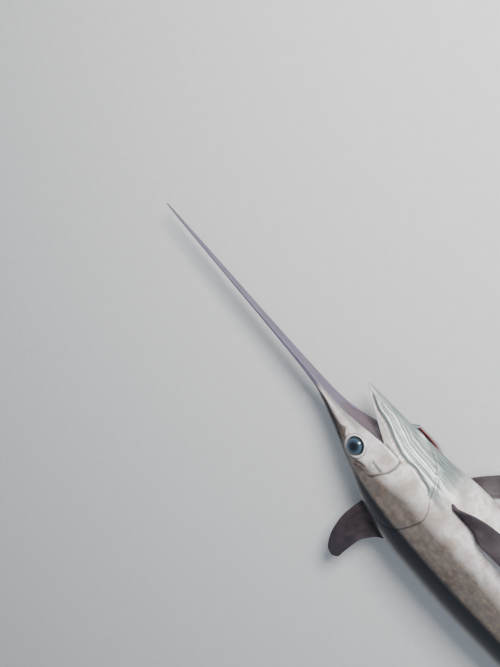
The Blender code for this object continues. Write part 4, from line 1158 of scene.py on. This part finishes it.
def make_pectorals(material):
    surface = half_width_at(PECTORAL_S, PECTORAL_Y)
    along = unit(np.array([0.86, -0.34, 0.38]))

    def right_fin(a, b, n):
        chord = fan_out((-1.0, 0.0, 0.0), unit(np.array([-0.37, -0.93, 0.0])), ease(a / 0.09))
        base = np.array([PECTORAL_S, PECTORAL_Y, surface + 0.0045])
        normal = unit(np.cross(chord, along))
        points = base + along * a[..., None] + chord * b[..., None] + normal * n[..., None]
        points[..., 2] -= 0.030 * (a / 0.31) ** 2
        points[0, :, 2] = [half_width_at(p[0], p[1]) - ROOT_SUNK for p in points[0]]
        return resting(points).reshape(points.shape)

    root = resting([[PECTORAL_S, PECTORAL_Y, -surface]])[0]
    along_floor = unit(np.array([-0.62, -0.78, 0.0]))

    def left_fin(a, b, n):
        chord = fan_out((1.0, 0.0, 0.0), unit(np.array([0.78, -0.62, 0.0])), ease(a / 0.06))
        points = root * [1, 1, 0] + along_floor * a[..., None] + chord * b[..., None]
        height = 0.0060 + (root[2] - 0.0060) * (1 - ease(a / 0.09)) + n
        points[0, :, 1] = belly_y(REST_S - points[0, :, 0], FLANK_HEIGHT - height[0]) + ROOT_SUNK
        points[..., 2] = np.maximum(height, 0.0)
        return points

    for word, to_world in (("right", right_fin), ("left", left_fin)):
        place, half, u, v = fin_grid(PECTORAL_LEADING, PECTORAL_TRAILING, 18, 50, 0.0110)
        half[0] = half[1]
        mesh = fin_mesh(f"pectoral_fin_{word}", place, half, to_world, u, v)
        piece(f"pectoral_fin_{word}_rayed", mesh, material, "fin", f"pectoral_fin_{word}")


def floor_paint():
    """Matt pale paint of a studio floor: no gloss, and just enough grain not to look like a blank."""
    material = new_material("matt_pale_floor_paint", Roughness=0.85)
    tree = material.node_tree
    here = add(tree, "ShaderNodeTexCoord").outputs["Object"]
    grain = add(tree, "ShaderNodeTexNoise", {"Vector": here, "Scale": 1 / 0.025, "Detail": 2.0})
    inputs = {"Fac": grain.outputs["Fac"]}
    tone = add(tree, "ShaderNodeValToRGB", inputs, [(0.3, "#cfd1d3"), (0.7, "#d4d6d8")])
    return finish_material(material, Base_Color=tone.outputs["Color"])


def make_stage():
    """A plain pale floor, just under the fish."""
    low = cad_bounds[0].z - FLOOR_GAP
    corners = [(x * FLOOR_REACH, y * FLOOR_REACH, low) for x, y in ((-1, -1), (1, -1), (1, 1), (-1, 1))]
    mesh = bpy.data.meshes.new("floor")
    mesh.from_pydata(corners, [], [(0, 1, 2, 3)])
    mesh.materials.append(floor_paint())
    put("floor", mesh)


# The camera: its place, its axes (right, up, back), its focal length in pixels, and what the lamps face
CAMERA_PLACE = (0.6326, -0.9082, 1.7621)
CAMERA_RIGHT = (-0.65582, -0.61049, -0.44407)
CAMERA_UP = (0.74557, -0.61604, -0.25419)
CAMERA_BACK = (-0.11839, -0.49779, 0.85918)
FOCAL_PIXELS = 715.0
IMAGE_HEIGHT = 667
SENSOR = 24.0
CAMERA_AXES = Matrix((CAMERA_RIGHT, CAMERA_UP, CAMERA_BACK)).transposed()
LAMPS_FACE = (0.42, 0.0, 0.08)


def make_camera():
    data = bpy.data.cameras.new("camera")
    data.sensor_fit = "VERTICAL"
    data.sensor_height = SENSOR
    data.lens = SENSOR * FOCAL_PIXELS / IMAGE_HEIGHT
    camera = put("camera", data)
    camera.matrix_world = Matrix.Translation(CAMERA_PLACE) @ CAMERA_AXES.to_4x4()
    bpy.context.scene.camera = camera


def make_light(name, direction, distance, size, watts, colour):
    """A soft square light that looks at the head from a direction in the camera's own axes."""
    towards = (CAMERA_AXES @ Vector(direction)).normalized()
    data = bpy.data.lights.new(name, "AREA")
    data.size = size
    data.energy = watts
    data.color = linear(colour)[:3]
    lamp = put(name, data)
    lamp.location = Vector(LAMPS_FACE) + towards * distance
    lamp.rotation_mode = "QUATERNION"
    lamp.rotation_quaternion = towards.to_track_quat("Z", "Y")


def make_lights():
    make_light("key", (0.05, 0.42, 0.90), 3.2, 1.0, 190.0, "#fffaf4")
    make_light("fill", (0.85, 0.45, 0.3), 3.4, 2.6, 20.0, "#eef4ff")
    world = bpy.data.worlds.new("pale_studio")
    world.use_nodes = True
    background = world.node_tree.nodes["Background"]
    background.inputs["Color"].default_value = linear("#dde6f2")
    background.inputs["Strength"].default_value = 0.52
    bpy.context.scene.world = world


make_camera()
make_lights()
make_stage()
make_skin()
make_gill_filaments()
eye_material = fish_eye_material()
for side, word in ((1, "right"), (-1, "left")):
    make_eye(side, word, eye_material)
fins = fin_material()
make_middle_fins(fins)
make_pectorals(fins)
